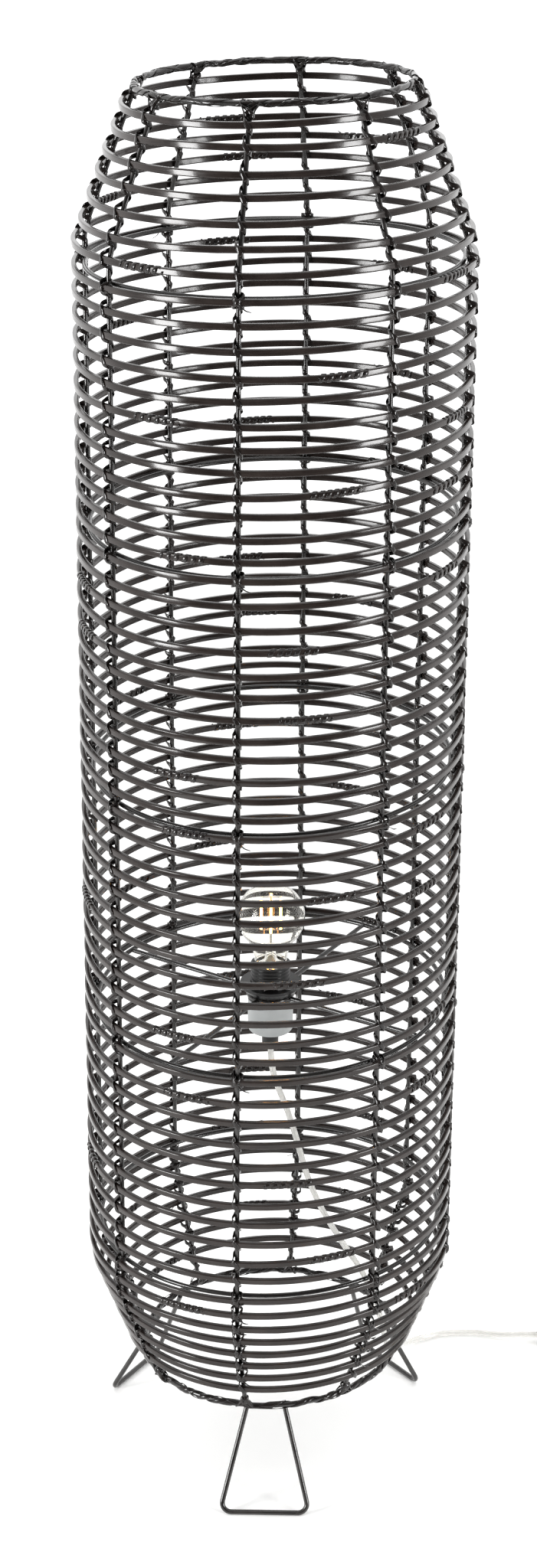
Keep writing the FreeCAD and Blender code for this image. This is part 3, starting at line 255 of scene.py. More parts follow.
# the bay between two ribs that holds each hoop's splice, from the top hoop down
SPLICE_BAYS = "2143457143" "0571301473" "1606403472" "5714013604" "5713714305" "640347153425"
GOLDEN = math.radians(137.5)
HEIGHT_WANDER, SPLICE_WANDER = 0.8, math.radians(7)
hoops = []
for course, upper, lower, steps, first, crowd in COURSES:
    for step in range(first, steps + 1):
        index = len(hoops)
        z = (upper - (upper - lower) * step / steps + crowd * math.sin(math.pi * step / steps)
             + HEIGHT_WANDER * math.sin(GOLDEN * index))
        middle = cage_radius(z)
        right = cage_radius(z + middle * math.sin(LEAN))
        left = cage_radius(z - middle * math.sin(LEAN))
        azimuth = (rib_azimuth(int(SPLICE_BAYS[index]) + 0.5)
                   + SPLICE_WANDER * math.sin(GOLDEN * (index + 1)))
        hoops.append({"course": course, "z": z, "radius": (right + left) / 2,
                      "shift": (right - left) / 2, "rise": back_rise(z), "splice": azimuth,
                      "seed": index})


def hoop_point(hoop, azimuth, grow=0.0):
    """The hoop's own line, with the wander of bent cane, about a millimetre at most."""
    s = hoop["seed"]
    drift = (0.45 * np.sin(2 * azimuth + 1.7 * s) + 0.35 * np.sin(3 * azimuth + 2.9 * s)
             + 0.25 * np.sin(5 * azimuth + 4.1 * s))
    swell = 0.15 * np.sin(4 * azimuth + 0.9 * s)
    point = tilted(hoop["radius"] + grow + swell, azimuth, hoop["z"], hoop["rise"],
                   hoop["shift"])
    point[..., 2] += drift
    return point


def outward(azimuth):
    """The level direction away from the lamp's axis."""
    return np.stack([np.sin(azimuth), -np.cos(azimuth), 0 * azimuth], axis=-1)


def tube(points, normals, section, closed=False, thick=None, wide=None, twist=None):
    """A strip or rod swept along points; the section may thin, narrow or twist on the way."""
    n, m = len(points), len(section)
    if closed:
        tangent = np.roll(points, -1, 0) - np.roll(points, 1, 0)
    else:
        tangent = np.gradient(points, axis=0)
    tangent /= np.linalg.norm(tangent, axis=1)[:, None]
    normal = normals - (normals * tangent).sum(1)[:, None] * tangent
    normal /= np.linalg.norm(normal, axis=1)[:, None]
    across = np.cross(tangent, normal)
    if twist is not None:
        c, s = np.cos(twist)[:, None], np.sin(twist)[:, None]
        normal, across = normal * c + across * s, across * c - normal * s
    a = section[None, :, 0] * (np.ones(n) if thick is None else thick)[:, None]
    b = section[None, :, 1] * (np.ones(n) if wide is None else wide)[:, None]
    verts = (points[:, None] + normal[:, None] * a[..., None]
             + across[:, None] * b[..., None]).reshape(-1, 3)
    rows = np.arange(n if closed else n - 1)
    i, j = np.meshgrid(rows, np.arange(m), indexing="ij")
    i2, j2 = (i + 1) % n, (j + 1) % m
    quads = np.stack([i * m + j, i * m + j2, i2 * m + j2, i2 * m + j], axis=-1).reshape(-1, 4)
    # metres along the strip and round its section, for the pattern of the fibres
    along = np.concatenate([[0], np.cumsum(np.linalg.norm(np.diff(points, axis=0), axis=1))])
    along = np.append(along, along[-1] + np.linalg.norm(points[0] - points[-1])) / 1000
    edge = np.linalg.norm(np.roll(section, -1, 0) - section, axis=1)
    round_ = np.concatenate([[0], np.cumsum(edge)]) / 1000
    uv = np.stack([np.stack([along[i], round_[j]], -1), np.stack([along[i], round_[j + 1]], -1),
                   np.stack([along[i + 1], round_[j + 1]], -1),
                   np.stack([along[i + 1], round_[j]], -1)], axis=-2).reshape(-1, 2)
    caps = [] if closed else [list(range(m))[::-1], list(range((n - 1) * m, n * m))]
    return verts / 1000, quads, uv, caps


def build(name, tubes, material, body="root", stands_for=()):
    """One Blender piece from swept tubes, riding on its body."""
    verts, faces, uvs, start = [], [], [], 0
    for part, quads, uv, caps in tubes:
        verts.append(part)
        faces += (quads + start).tolist()
        uvs.append(uv)
        for cap in caps:
            faces.append([v + start for v in cap])
            uvs.append(np.zeros((len(cap), 2)))
        start += len(part)
    mesh = bpy.data.meshes.new(name)
    mesh.from_pydata(np.concatenate(verts).tolist(), [], faces)
    layer = mesh.uv_layers.new(name="along_across")
    layer.data.foreach_set("uv", np.concatenate(uvs).ravel())
    mesh.polygons.foreach_set("use_smooth", [True] * len(mesh.polygons))
    mesh.materials.append(material)
    mesh.update()
    piece = bpy.data.objects.new(name, mesh)
    bpy.context.scene.collection.objects.link(piece)
    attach(piece, body)
    if stands_for:
        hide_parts(*stands_for)


def cane_material(name, dark, light, rough, coat, fibre):
    """Stained cane: long fibres, patchy stain and a worn-in varnish."""
    made, tree, shader = finish(name, IOR=1.33, Coat_Weight=coat, Coat_Roughness=0.08,
                                Coat_IOR=1.4)
    uv = add_node(tree, "ShaderNodeUVMap", uv_map="along_across").outputs["UV"]
    where = add_node(tree, "ShaderNodeTexCoord").outputs["Object"]
    # fibres show as streaks 22 mm long; real ones are too fine to show and are drawn wider
    run = add_node(tree, "ShaderNodeMapping", {"Vector": uv},
                   Scale=(repeats(22), repeats(0.67), 1))
    fibres = add_node(tree, "ShaderNodeTexNoise", {"Vector": run.outputs["Vector"]}, Scale=1.0,
                      Detail=4.0, Roughness=0.6)
    stain = add_node(tree, "ShaderNodeTexNoise", {"Vector": where}, Scale=repeats(26),
                     Detail=5.0, Roughness=0.6)
    mixed = add_node(tree, "ShaderNodeMath", {0: fibres.outputs["Fac"], 1: stain.outputs["Fac"]},
                     operation="ADD")
    tone = add_node(tree, "ShaderNodeMapRange", {"Value": mixed.outputs[0]},
                    From_Min=0.7, From_Max=1.35)
    colour = add_node(tree, "ShaderNodeValToRGB", {"Fac": tone.outputs["Result"]})
    colour.color_ramp.elements[0].color = rgb(dark)
    colour.color_ramp.elements[1].color = rgb(light)
    gloss = add_node(tree, "ShaderNodeMapRange", {"Value": mixed.outputs[0]}, From_Min=0.7,
                     From_Max=1.35, To_Min=rough - 0.08, To_Max=rough + 0.12)
    relief = add_node(tree, "ShaderNodeBump", {"Height": fibres.outputs["Fac"]},
                      Strength=fibre, Distance=0.00015)
    lumps = add_node(tree, "ShaderNodeBump", {"Height": stain.outputs["Fac"],
                                              "Normal": relief.outputs["Normal"]},
                     Strength=0.12, Distance=0.0006)
    feed(tree, shader, {"Base Color": colour.outputs["Color"],
                        "Roughness": gloss.outputs["Result"], "Normal": lumps.outputs["Normal"]})
    return made


# Split cane, stained and varnished: nearly black, its shine broken up along the fibres.
cane = cane_material("black_stained_cane", "#1a1513", "#332c29", 0.17, 0.4, 0.14)


def split_cane(high, thick, corner):
    """The hoops' section: flat faces between rounded corners."""
    turns = np.radians([0, 14, 45, 76, 90])
    ring = [(thick / 2 - corner + corner * math.cos(a), high / 2 - corner + corner * math.sin(a))
            for a in turns]
    half = ring + [(-x, y) for x, y in ring[::-1]]
    return np.array(half + [(-x, -y) for x, y in half])


SEGMENTS = 176
SPLICE_LENGTH, TAIL_LENGTH = 42.0, 9.0
PARED, TUCKED_IN, LAPPED_OUT = 0.3, 0.75, 1.1
section = split_cane(CANE_HIGH, CANE_THICK, 1.0)
by_course = {}
for hoop in hoops:
    half = (SPLICE_LENGTH / 2 + TAIL_LENGTH) / hoop["radius"]
    azimuth = hoop["splice"] - half + np.linspace(0, 2 * math.pi + 2 * half, SEGMENTS)
    lap = np.clip((azimuth - azimuth[0]) / (2 * half), 0, 1)
    end = np.clip((azimuth[-1] - azimuth) / (2 * half), 0, 1)
    # the first end lies inside, the last end outside, each pared to a thin tail
    thick = PARED + (1 - PARED) * np.minimum(lap, end) ** 0.8
    grow = -TUCKED_IN * (1 - lap) ** 1.2 + LAPPED_OUT * (1 - end) ** 1.2
    s = hoop["seed"]
    twist = 0.04 * np.sin(3 * azimuth + 2.3 * s) + 0.03 * np.sin(7 * azimuth + s)
    # a slight swelling at each of the cane's own joints
    knuckle = 1 + 0.06 * np.exp(-((np.mod(azimuth * 0.9 + s, 1.9) - 0.9) / 0.03) ** 2)
    points = hoop_point(hoop, azimuth, grow)
    # each tail is narrowed too
    wide = knuckle * (0.55 + 0.45 * np.minimum(1, np.minimum(lap, end) * 3))
    by_course.setdefault(hoop["course"], []).append(
        tube(points, outward(azimuth), section, thick=thick * knuckle, wide=wide, twist=twist))
for course, tubes in by_course.items():
    build(course.replace("hoops", "canes"), tubes, cane, stands_for=[course])

# ------------------------------------------------------------------ splice bindings
# Each lap is bound by a strip of peeled cane in an open, slanting spiral.  Its first end is
# tucked in, and its last end is pushed under the binding and curls free.

# Peeled cane skin, stained and varnished: darker, glossier and more deeply grooved.
strip = cane_material("black_stained_cane_strip", "#120f0e", "#282321", 0.18, 0.45, 0.25)


def oval(wide, thick, power=3.0):
    """A strip's section: thickness along the normal, width across it."""
    turn = np.linspace(0, 2 * math.pi, 8, endpoint=False)
    c, s = np.cos(turn), np.sin(turn)
    return np.stack([np.sign(c) * abs(c) ** (2 / power) * thick / 2,
                     np.sign(s) * abs(s) ** (2 / power) * wide / 2], axis=-1)


BIND_RISE = 0.45
binding_strip = oval(3.8, 0.7, 3.5)
loose_end = oval(1.8, 0.5)
course_names = [course[0] for course in COURSES]
# two courses of hoops to each group
bindings = {"upper": [], "middle": [], "lower": []}
for hoop in hoops:
    s = hoop["seed"]
    # six or seven turns, by hand
    turns = 6 + s % 2
    t = np.linspace(0, 1, turns * 14 + 1)
    half = SPLICE_LENGTH / 2 / hoop["radius"]
    azimuth = hoop["splice"] + half * (2 * t - 1)
    spin = 2 * math.pi * turns * t + s + 0.4 * np.sin(9 * t + s)
    out, up = outward(azimuth), np.array([0, 0, 1.0])
    deep, tall = CANE_THICK / 2 + BIND_RISE, CANE_HIGH / 2 + BIND_RISE
    points = (hoop_point(hoop, azimuth) + out * (deep * np.cos(spin))[:, None]
              + up * (tall * np.sin(spin))[:, None])
    normals = out * np.cos(spin)[:, None] / deep + up * np.sin(spin)[:, None] / tall
    wide = 0.35 + 0.65 * np.clip(np.minimum(t, 1 - t) * 12, 0, 1)
    group = ("upper", "middle", "lower")[course_names.index(hoop["course"]) // 2]
    bindings[group].append(tube(points, normals, binding_strip, wide=wide))
    # the last end, at one side or the other
    curl = np.linspace(0, 1, 9)
    side = 1 if s % 2 else -1
    reach = hoop["splice"] + side * (half - 0.01 + 0.06 * curl)
    droop = (2.6 + 1.8 * np.sin(2.7 * s)) * curl ** 1.5
    end = hoop_point(hoop, reach, 1.9 - 1.2 * curl) - droop[:, None] * up * np.cos(s)
    bindings[group].append(tube(end, outward(reach) + up * 0.6 * np.sin(s), loose_end,
                                wide=1 - 0.8 * curl ** 2))
for group, tubes in bindings.items():
    build(f"{group}_splice_wraps", tubes, strip,
          stands_for=[f"{group}_splice_bindings"])

# ------------------------------------------------------------------ rib lashings
# One strip of peeled cane ties all hoops to a rib: slantwise over a hoop, behind the rib,
# and over the next.  It follows the hoops' own heights at that rib.
BAND = oval(3.9, 0.75)
LAST_DROP, CORE_RISE = 17, 1.6


def rib_radius(z):
    """The radius of the ribs' own line at a height."""
    return min(RIB_R, TOP_R + TAPER["top"] * (TOP_Z - z),
               BOTTOM_R + TAPER["bottom"] * (z - BOTTOM_Z))


def at_rib(azimuth, u, radius, z):
    """A point beside a rib: u along the hoops, at a radius and a height."""
    return np.array([math.sin(azimuth) * radius + math.cos(azimuth) * u,
                     -math.cos(azimuth) * radius + math.sin(azimuth) * u, z])


def smooth_through(knots, parts):
    """A smooth line through all the knots."""
    padded = np.vstack([2 * knots[0] - knots[1], knots, 2 * knots[-1] - knots[-2]])
    a, b, c, d = padded[:-3], padded[1:-2], padded[2:-1], padded[3:]
    line = [0.5 * (2 * b + (c - a) * t + (2 * a - 5 * b + 4 * c - d) * t ** 2
                   + (3 * b - a - 3 * c + d) * t ** 3)
            for t in np.linspace(0, 1, parts, endpoint=False)]
    return np.vstack([np.stack(line, 1).reshape(-1, 3), knots[-1]])


for number in range(8):
    azimuth = rib_azimuth(number)
    out = outward(np.array(azimuth))
    met = [hoop_point(hoop, np.array(azimuth)) for hoop in hoops]
    crossings = [float(point[2]) for point in met]
    reach = [float(point @ out) for point in met]
    knots = []
    for i, (z, face) in enumerate(zip(crossings, reach)):
        rib = rib_radius(z)
        front = face - rib + CANE_THICK / 2 + BIND_RISE
        sway = 0.5 * math.sin(GOLDEN * (i + 5 * number))
        slack = 0.4 * math.sin(2.1 * i + number)
        # sideways, outward and upward from the rib's middle at this hoop
        path = [(-2.7, 0.0, 5.9), (-3.3 + slack, 3.4, 4.6), (-2.3 + sway, front - 0.3, 3.1),
                (sway * 0.5, front + 0.3, 0.0), (2.3 + sway, front - 0.3, -3.1),
                (3.3 + slack, 3.4, -4.6), (2.7, 0.0, -5.9)]
        lower = crossings[i + 1] if i + 1 < len(crossings) else z - LAST_DROP
        middle = (lower - z) / 2
        path += [(1.6, -2.3, middle + 1.5), (-1.6, -2.3, middle - 1.5)]
        knots += [at_rib(azimuth, u, rib_radius(z + dz) + w, z + dz) for u, w, dz in path]
    points = smooth_through(np.array(knots), 4)
    # the band's flat faces a line just outside the rib's middle
    core = out[None] * np.array([rib_radius(z) + CORE_RISE for z in points[:, 2]])[:, None]
    normals = points - core
    normals[:, 2] = 0
    s = np.arange(len(points))
    band = tube(points, normals, BAND, twist=0.12 * np.sin(s * 0.37))
    build(f"rib_{number + 1}_lashing", [band], strip,
          stands_for=[f"rib_lashing_{number + 1}"])

# ------------------------------------------------------------------ knots
# Where a ring, a rim or the narrow foot makes a joint work harder, a second strip of peeled
# cane is bound crosswise over hoop and rib, and its end is left standing.
CROSS, TAIL = oval(3.0, 0.65), oval(2.0, 0.5)
CROSS_RISE = 0.75


def wound(azimuth, path, profile, taper=0.0):
    """A strip through (u, radius, height) points beside a rib, its flat turned to the rib."""
    points = smooth_through(np.array([at_rib(azimuth, *spot) for spot in path]), 5)
    middle = at_rib(azimuth, 0.0, float(np.mean([spot[1] for spot in path])), 0.0)
    normals = points - middle
    normals[:, 2] = 0
    wide = 1 - taper * np.linspace(0, 1, len(points)) ** 2
    return tube(points, normals, profile, wide=wide)


def cross_knot(azimuth, z, face, rib, seed):
    """Two crossed turns over hoop and rib, and the loose end."""
    front = face + CANE_THICK / 2 + CROSS_RISE
    path = []
    for turn in range(4):
        slope = 1 if turn % 2 == 0 else -1
        high = 4.3 + 0.4 * math.sin(seed + turn)
        wide = 4.6 + 0.5 * math.sin(2.3 * seed + turn)
        path += [(-wide, rib + 0.6, z + high * slope),
                 (-wide * 0.4, front - 0.2, z + 1.6 * slope),
                 (wide * 0.4, front + 0.1, z - 1.6 * slope),
                 (wide, rib + 0.6, z - high * slope),
                 (0.0, rib - 2.9, z - (high + 0.3) * slope)]
    lean = math.sin(3.7 * seed)
    tail = [(2.0, front - 0.3, z - 2.0), (4.5, front + 0.1, z - 3.2 - lean),
            (7.0, front - 0.4, z - 4.0 - 2.5 * lean),
            (9.5 + 2 * lean, front - 1.2, z - 4.2 - 4 * lean)]
    return [wound(azimuth, path, CROSS), wound(azimuth, tail, TAIL, 0.75)]


def rim_level(end, azimuth):
    """The height of a rim's wire at an azimuth."""
    z, radius = (TOP_Z, TOP_R) if end == "top" else (BOTTOM_Z, BOTTOM_R)
    return z + radius * math.sin(azimuth) * math.sin(LEAN)


def rim_knot(azimuth, end, seed):
    """The gusset of strips that ties a rib's end to the rim wire."""
    radius, away = (TOP_R, 1) if end == "top" else (BOTTOM_R, -1)
    # along the rim, outward from its wire, and away from the rib
    shape = [(-7.0, 3.0, 0.0), (-4.2, 3.4, -4.5), (-1.6, 3.2, -10.0), (0.4, -2.9, -13.5),
             (2.0, 3.1, -10.5), (4.4, 3.4, -4.5), (7.2, 3.0, -0.5), (6.6, -0.4, 1.6),
             (4.0, -3.3, -1.0), (0.0, -3.6, -4.0), (-4.0, -3.3, -1.0), (-6.4, -0.4, 1.6),
             (-7.4, 3.0, -0.5), (-2.0, 3.6, -3.5), (3.0, 3.7, -7.0), (2.6, -2.7, -9.0),
             (-2.6, -2.7, -8.0), (-3.2, 3.5, -7.0), (1.5, 3.8, -4.0), (6.0, 3.3, -0.5)]
    path = [(u * (1 + 0.08 * math.sin(seed + i)), radius + w - TAPER[end] * rise,
             rim_level(end, azimuth) + away * rise)
            for i, (u, w, rise) in enumerate(shape)]
    return wound(azimuth, path, CROSS)


# the last hoop of each course lies at a ring; the foot's are knotted all but the lowest
ring_hoops = [i for i, (hoop, lower) in enumerate(zip(hoops, hoops[1:]))
              if hoop["course"] != lower["course"]]
foot_hoops = range(ring_hoops[-1] + 1, len(hoops) - 1)
for number in range(8):
    azimuth = rib_azimuth(number)
    out = outward(np.array(azimuth))
    strands = []
    for i in ring_hoops + list(foot_hoops):
        point = hoop_point(hoops[i], np.array(azimuth))
        z = float(point[2])
        strands += cross_knot(azimuth, z, float(point @ out), rib_radius(z), i + 3.1 * number)
    strands += [rim_knot(azimuth, "top", number), rim_knot(azimuth, "bottom", number + 2.0)]
    build(f"rib_{number + 1}_knots", strands, strip)

# ------------------------------------------------------------------ rim wraps
# Both rims are wound by hand with peeled cane: a broad strip at a long slant, a second one
# over it and a narrow one back across, so slivers of the rim wire stay open between them.


def hugging(width, thick, bend, count=7):
    """A strip's section bent round the wire that it is wound on."""
    turn = np.linspace(-1, 1, count) * width / 2 / bend
    slim = thick / 2 * (1 - 0.6 * np.linspace(-1, 1, count) ** 4)
    outer = np.stack([(bend + slim) * np.cos(turn) - bend, (bend + slim) * np.sin(turn)], -1)
    inner = np.stack([(bend - slim) * np.cos(turn) - bend, (bend - slim) * np.sin(turn)], -1)
    return np.vstack([outer, inner[::-1]])


# each winding: its turns, how far it stands off, its section, which way round, where it starts
WINDINGS = [(25, 0.25, hugging(6.6, 0.5, 3.3), 1, 0),
            (23, 0.5, hugging(4.4, 0.5, 3.4), 1, 2.6),
            (13, 0.7, hugging(2.0, 0.5, 3.4, 5), -1, 1.0)]
WIRE_CLEAR = 0.25
STEPS_A_TURN = 24
SLACK, SLACK_PLACE, SLACK_SPREAD = 1.2, 1.55 * math.pi, 0.12
for name, radius, z, shift, seed, bulk in (
        ("top", TOP_R, TOP_Z, -TAPER["top"] * TOP_R * math.sin(LEAN), 0.0, 0.0),
        ("bottom", BOTTOM_R, BOTTOM_Z, TAPER["bottom"] * BOTTOM_R * math.sin(LEAN), 2.0, 0.45)):
    strands = []
    for turns, lift, profile, sign, phase in WINDINGS:
        t = np.linspace(0, 2 * math.pi, turns * STEPS_A_TURN, endpoint=False)
        spin = sign * (turns * t + phase + 1.3 * np.sin(3 * t + seed + phase)
                       + 0.8 * np.sin(7 * t + 2 * seed))
        out, up = outward(t), np.array([0, 0, 1.0])
        # loose on the left, where the winding stands off the wire
        slack = SLACK * np.exp(-((t - SLACK_PLACE) / SLACK_SPREAD) ** 2)
        deep = (WIRE / 2 + WIRE_CLEAR + bulk + lift + 0.1 * np.sin(11 * t + seed + phase)
                + slack)
        centre = tilted(radius, t, z, 0.0, shift)
        points = (centre + out * (deep * np.cos(spin))[:, None]
                  + up * (deep * np.sin(spin))[:, None])
        normals = out * np.cos(spin)[:, None] + up * np.sin(spin)[:, None]
        strands.append(tube(points, normals, profile, closed=True,
                            wide=1 + 0.15 * np.sin(5 * t + seed)))
    build(f"{name}_rim_wrap", strands, strip, stands_for=[f"{name}_rim_binding"])

# ------------------------------------------------------------------ lampholder
# A black moulded neck and its ring nut clamp the bracket ring, over a pale moulded sleeve
# with a brass shell inside.  The CAD shapes stay; a small bevel lets their edges catch light.


def moulded(name, colour, rough, skin, bump=0.1, coat=0.0):
    """A moulding or a glaze: a sparkle in the skin, in mm, and slow variation in gloss."""
    made, tree, shader = finish(name, Coat_Weight=coat)
    where = add_node(tree, "ShaderNodeTexCoord").outputs["Object"]
    # a real skin is finer than the render can show, and is drawn coarser
    fine = add_node(tree, "ShaderNodeTexNoise", {"Vector": where}, Scale=repeats(skin),
                    Detail=3.0)
    slow = add_node(tree, "ShaderNodeTexNoise", {"Vector": where}, Scale=repeats(17),
                    Detail=2.0)
    lift = add_node(tree, "ShaderNodeMapRange", {"Value": slow.outputs["Fac"]},
                    To_Min=0.9, To_Max=1.1)
    tone = add_node(tree, "ShaderNodeHueSaturation", {"Value": lift.outputs["Result"]},
                    Color=rgb(colour))
    gloss = add_node(tree, "ShaderNodeMapRange", {"Value": slow.outputs["Fac"]},
                     To_Min=rough - 0.06, To_Max=rough + 0.06)
    relief = add_node(tree, "ShaderNodeBump", {"Height": fine.outputs["Fac"]}, Strength=bump,
                      Distance=0.0001)
    feed(tree, shader, {"Base Color": tone.outputs["Color"],
                        "Roughness": gloss.outputs["Result"],
                        "Normal": relief.outputs["Normal"]})
    return made


def metal(name, colour, rough, scratch):
    """Bare metal with fine turning marks and a little tarnish."""
    made, tree, shader = finish(name, Metallic=1.0)
    where = add_node(tree, "ShaderNodeTexCoord").outputs["Object"]
    # real turning marks are too fine to show, and are drawn 0.4 mm apart
    stretch = add_node(tree, "ShaderNodeMapping", {"Vector": where},
                       Scale=(repeats(25), repeats(25), repeats(0.4)))
    marks = add_node(tree, "ShaderNodeTexNoise", {"Vector": stretch.outputs["Vector"]},
                     Scale=1.0)
    patch = add_node(tree, "ShaderNodeTexNoise", {"Vector": where}, Scale=repeats(11),
                     Detail=4.0)
    tone = add_node(tree, "ShaderNodeValToRGB", {"Fac": patch.outputs["Fac"]})
    tone.color_ramp.elements[0].color = [c * 0.7 for c in rgb(colour)[:3]] + [1]
    tone.color_ramp.elements[1].color = rgb(colour)
    gloss = add_node(tree, "ShaderNodeMapRange", {"Value": patch.outputs["Fac"]},
                     To_Min=rough - 0.05, To_Max=rough + 0.15)
    relief = add_node(tree, "ShaderNodeBump", {"Height": marks.outputs["Fac"]},
                      Strength=scratch, Distance=0.00005)
    feed(tree, shader, {"Base Color": tone.outputs["Color"],
                        "Roughness": gloss.outputs["Result"],
                        "Normal": relief.outputs["Normal"]})
    return made


# Pressed phenolic: black, with a soft shine on every edge.
black_moulding = moulded("black_phenolic_moulding", "#0e0d0d", 0.3, 0.5)
# Injected polycarbonate: an even, satin pale grey.
pale_moulding = moulded("pale_grey_polycarbonate", "#adb0b0", 0.42, 0.4)
# Fired ceramic: cream, under a thin clear glaze.
white_glaze = moulded("cream_glazed_ceramic", "#e6dfcb", 0.3, 2.0, coat=0.3)
# Turned brass: warm, with fine marks round it and slight tarnish.
brass = metal("turned_brass", "#c9a35a", 0.25, 0.3)


def bevel(node, width):
    """Softens a CAD node's sharp edges by a width in mm."""
    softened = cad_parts[node].modifiers.new("soft_edges", "BEVEL")
    softened.width = width / 1000
    softened.segments = 2
    softened.limit_method = "ANGLE"
    softened.harden_normals = True
    softened.angle_limit = math.radians(50)


for node, material in (("threaded_neck", black_moulding), ("retaining_ring", black_moulding),
                       ("cord_grip", black_moulding), ("holder_sleeve", pale_moulding),
                       ("holder_insulator", white_glaze), ("screw_shell", brass),
                       ("centre_contact", brass)):
    dress(node, material)
    bevel(node, 0.25)

# ------------------------------------------------------------------ bulb
# A blown glass globe, closed by a pressed glass stem with a pale disc at its foot, in a
# nickel plated screw cap.  It is lit: four straight coated filaments stand on thin wires.

# Blown soda glass: clear and faintly wavy, with thin bright rims.
glass, tree, shader = finish("clear_bulb_glass", Base_Color=rgb("#fbfaf6"), Roughness=0.0,
                             IOR=1.38, Transmission_Weight=1.0)
where = add_node(tree, "ShaderNodeTexCoord").outputs["Object"]
wave = add_node(tree, "ShaderNodeTexNoise", {"Vector": where}, Scale=repeats(50), Detail=0.0)
relief = add_node(tree, "ShaderNodeBump", {"Height": wave.outputs["Fac"]}, Strength=0.01,
                  Distance=0.0003)
feed(tree, shader, {"Normal": relief.outputs["Normal"]})

# Nickel plate over brass: cool, bright, with fine turning marks and slight tarnish.
nickel = metal("nickel_plate", "#c8c4bb", 0.22, 0.2)
# Poured black glass under the cap: deep black and nearly mirror smooth.
black_glass = moulded("black_fused_glass", "#0c0c0c", 0.12, 1.0)
for node, material in (("bulb_cap", nickel), ("cap_insulator", black_glass),
                       ("cap_contact", nickel)):
    dress(node, material)
    bevel(node, 0.25)

# heights are taken from the contact under the cap
TIP = RING_Z[3] - 4
BALL_R, BALL_UP, NECK_R, NECK_UP, FLARE_R, GLASS_WALL = 29.6, 76.6, 14.3, 30.4, 35.0, 0.45


def lathe(name, profile, material, stands_for=()):
    """A surface turned round the lamp's axis from (radius, height) points in mm."""
    rows, count = len(profile), 64
    spin = np.linspace(0, 2 * math.pi, count, endpoint=False)
    profile = np.array(profile, float)
    verts = np.stack([profile[:, None, 0] * np.cos(spin), profile[:, None, 0] * np.sin(spin),
                      np.repeat(profile[:, 1][:, None], count, 1)], axis=-1).reshape(-1, 3) / 1000
    i, j = np.meshgrid(np.arange(rows - 1), np.arange(count), indexing="ij")
    j2 = (j + 1) % count
    quads = np.stack([i * count + j, (i + 1) * count + j, (i + 1) * count + j2, i * count + j2],
                     axis=-1).reshape(-1, 4)
    uv = np.zeros((len(quads) * 4, 2))
    build(name, [(verts, quads, uv, [])], material, "bulb", stands_for)


def globe_profile(inset):
    """The globe's line from its crown to its neck, at a depth inside the outer face."""
    ball, neck, flare, centre = BALL_R - inset, NECK_R - inset, FLARE_R + inset, TIP + BALL_UP
    drop = math.sqrt((ball + flare) ** 2 - (neck + flare) ** 2)
    joint = math.atan2(-drop, neck + flare)
    line = [(0.01, centre + ball)]
    line += [(ball * math.cos(a), centre + ball * math.sin(a))
             for a in np.linspace(math.pi / 2 - 0.08, joint, 34)]
    line += [(neck + flare - flare * math.cos(a), centre - drop + flare * math.sin(a))
             for a in np.linspace(-joint, 0, 12)[1:]]
    return line + [(neck, TIP + NECK_UP)]


globe = globe_profile(0.0) + globe_profile(GLASS_WALL)[::-1]
lathe("globe_glass", globe, glass, ["bulb_globe"])

# radii and heights of the pressed stem and of the disc at its foot
STEM = [(12.6, 30.6), (11.5, 32.0), (8.0, 33.6), (5.6, 36.0), (4.6, 40.0), (4.3, 45.0),
        (4.5, 47.5), (3.6, 49.5), (1.8, 50.4), (0.01, 50.5)]
DISC = [(0.01, 31.0), (12.9, 31.0), (13.3, 30.6), (13.3, 29.6), (12.9, 29.2), (0.01, 29.2)]
lathe("stem_glass", [(r, TIP + up) for r, up in STEM], glass, ["bulb_stem"])
lathe("stem_foot_disc", [(r, TIP + up) for r, up in DISC], white_glaze)

# A beaded coating, lit from within: amber, and paler where it is thick.
glow, tree, shader = finish("lit_filament_coating", Emission_Strength=10.0, Roughness=0.5)
where = add_node(tree, "ShaderNodeTexCoord").outputs["Object"]
beads = add_node(tree, "ShaderNodeTexNoise", {"Vector": where}, Scale=repeats(1.1))
colour = add_node(tree, "ShaderNodeValToRGB", {"Fac": beads.outputs["Fac"]})
colour.color_ramp.elements[0].color = rgb("#ff9a30")
colour.color_ramp.elements[1].color = rgb("#ffd488")
feed(tree, shader, {"Base Color": colour.outputs["Color"],
                    "Emission Color": colour.outputs["Color"]})
dress("bulb_filaments", glow)
dress("filament_supports", nickel)

# the filaments' light on what stands round them, from half-way up them
LIGHT_UP = 79
spark = bpy.data.lights.new("bulb_light", "POINT")
spark.energy = 0.9
spark.color = rgb("#ffc98a")[:3]
spark.shadow_soft_size = 0.012
spark_place = bpy.data.objects.new("bulb_light", spark)
spark_place.location = (0, 0, (TIP + LIGHT_UP) / 1000)
spark_place.visible_transmission = False
spark_place.visible_glossy = False
bpy.context.scene.collection.objects.link(spark_place)

# ------------------------------------------------------------------ cord
# Cord in a clear sheath: straight out of the grip, across to the right inside the cage, out
# under the rim and along the floor to its switch, then a tied coil and the plug.
CORD_D = 5.4
FLOOR = CORD_D / 2 + 0.3

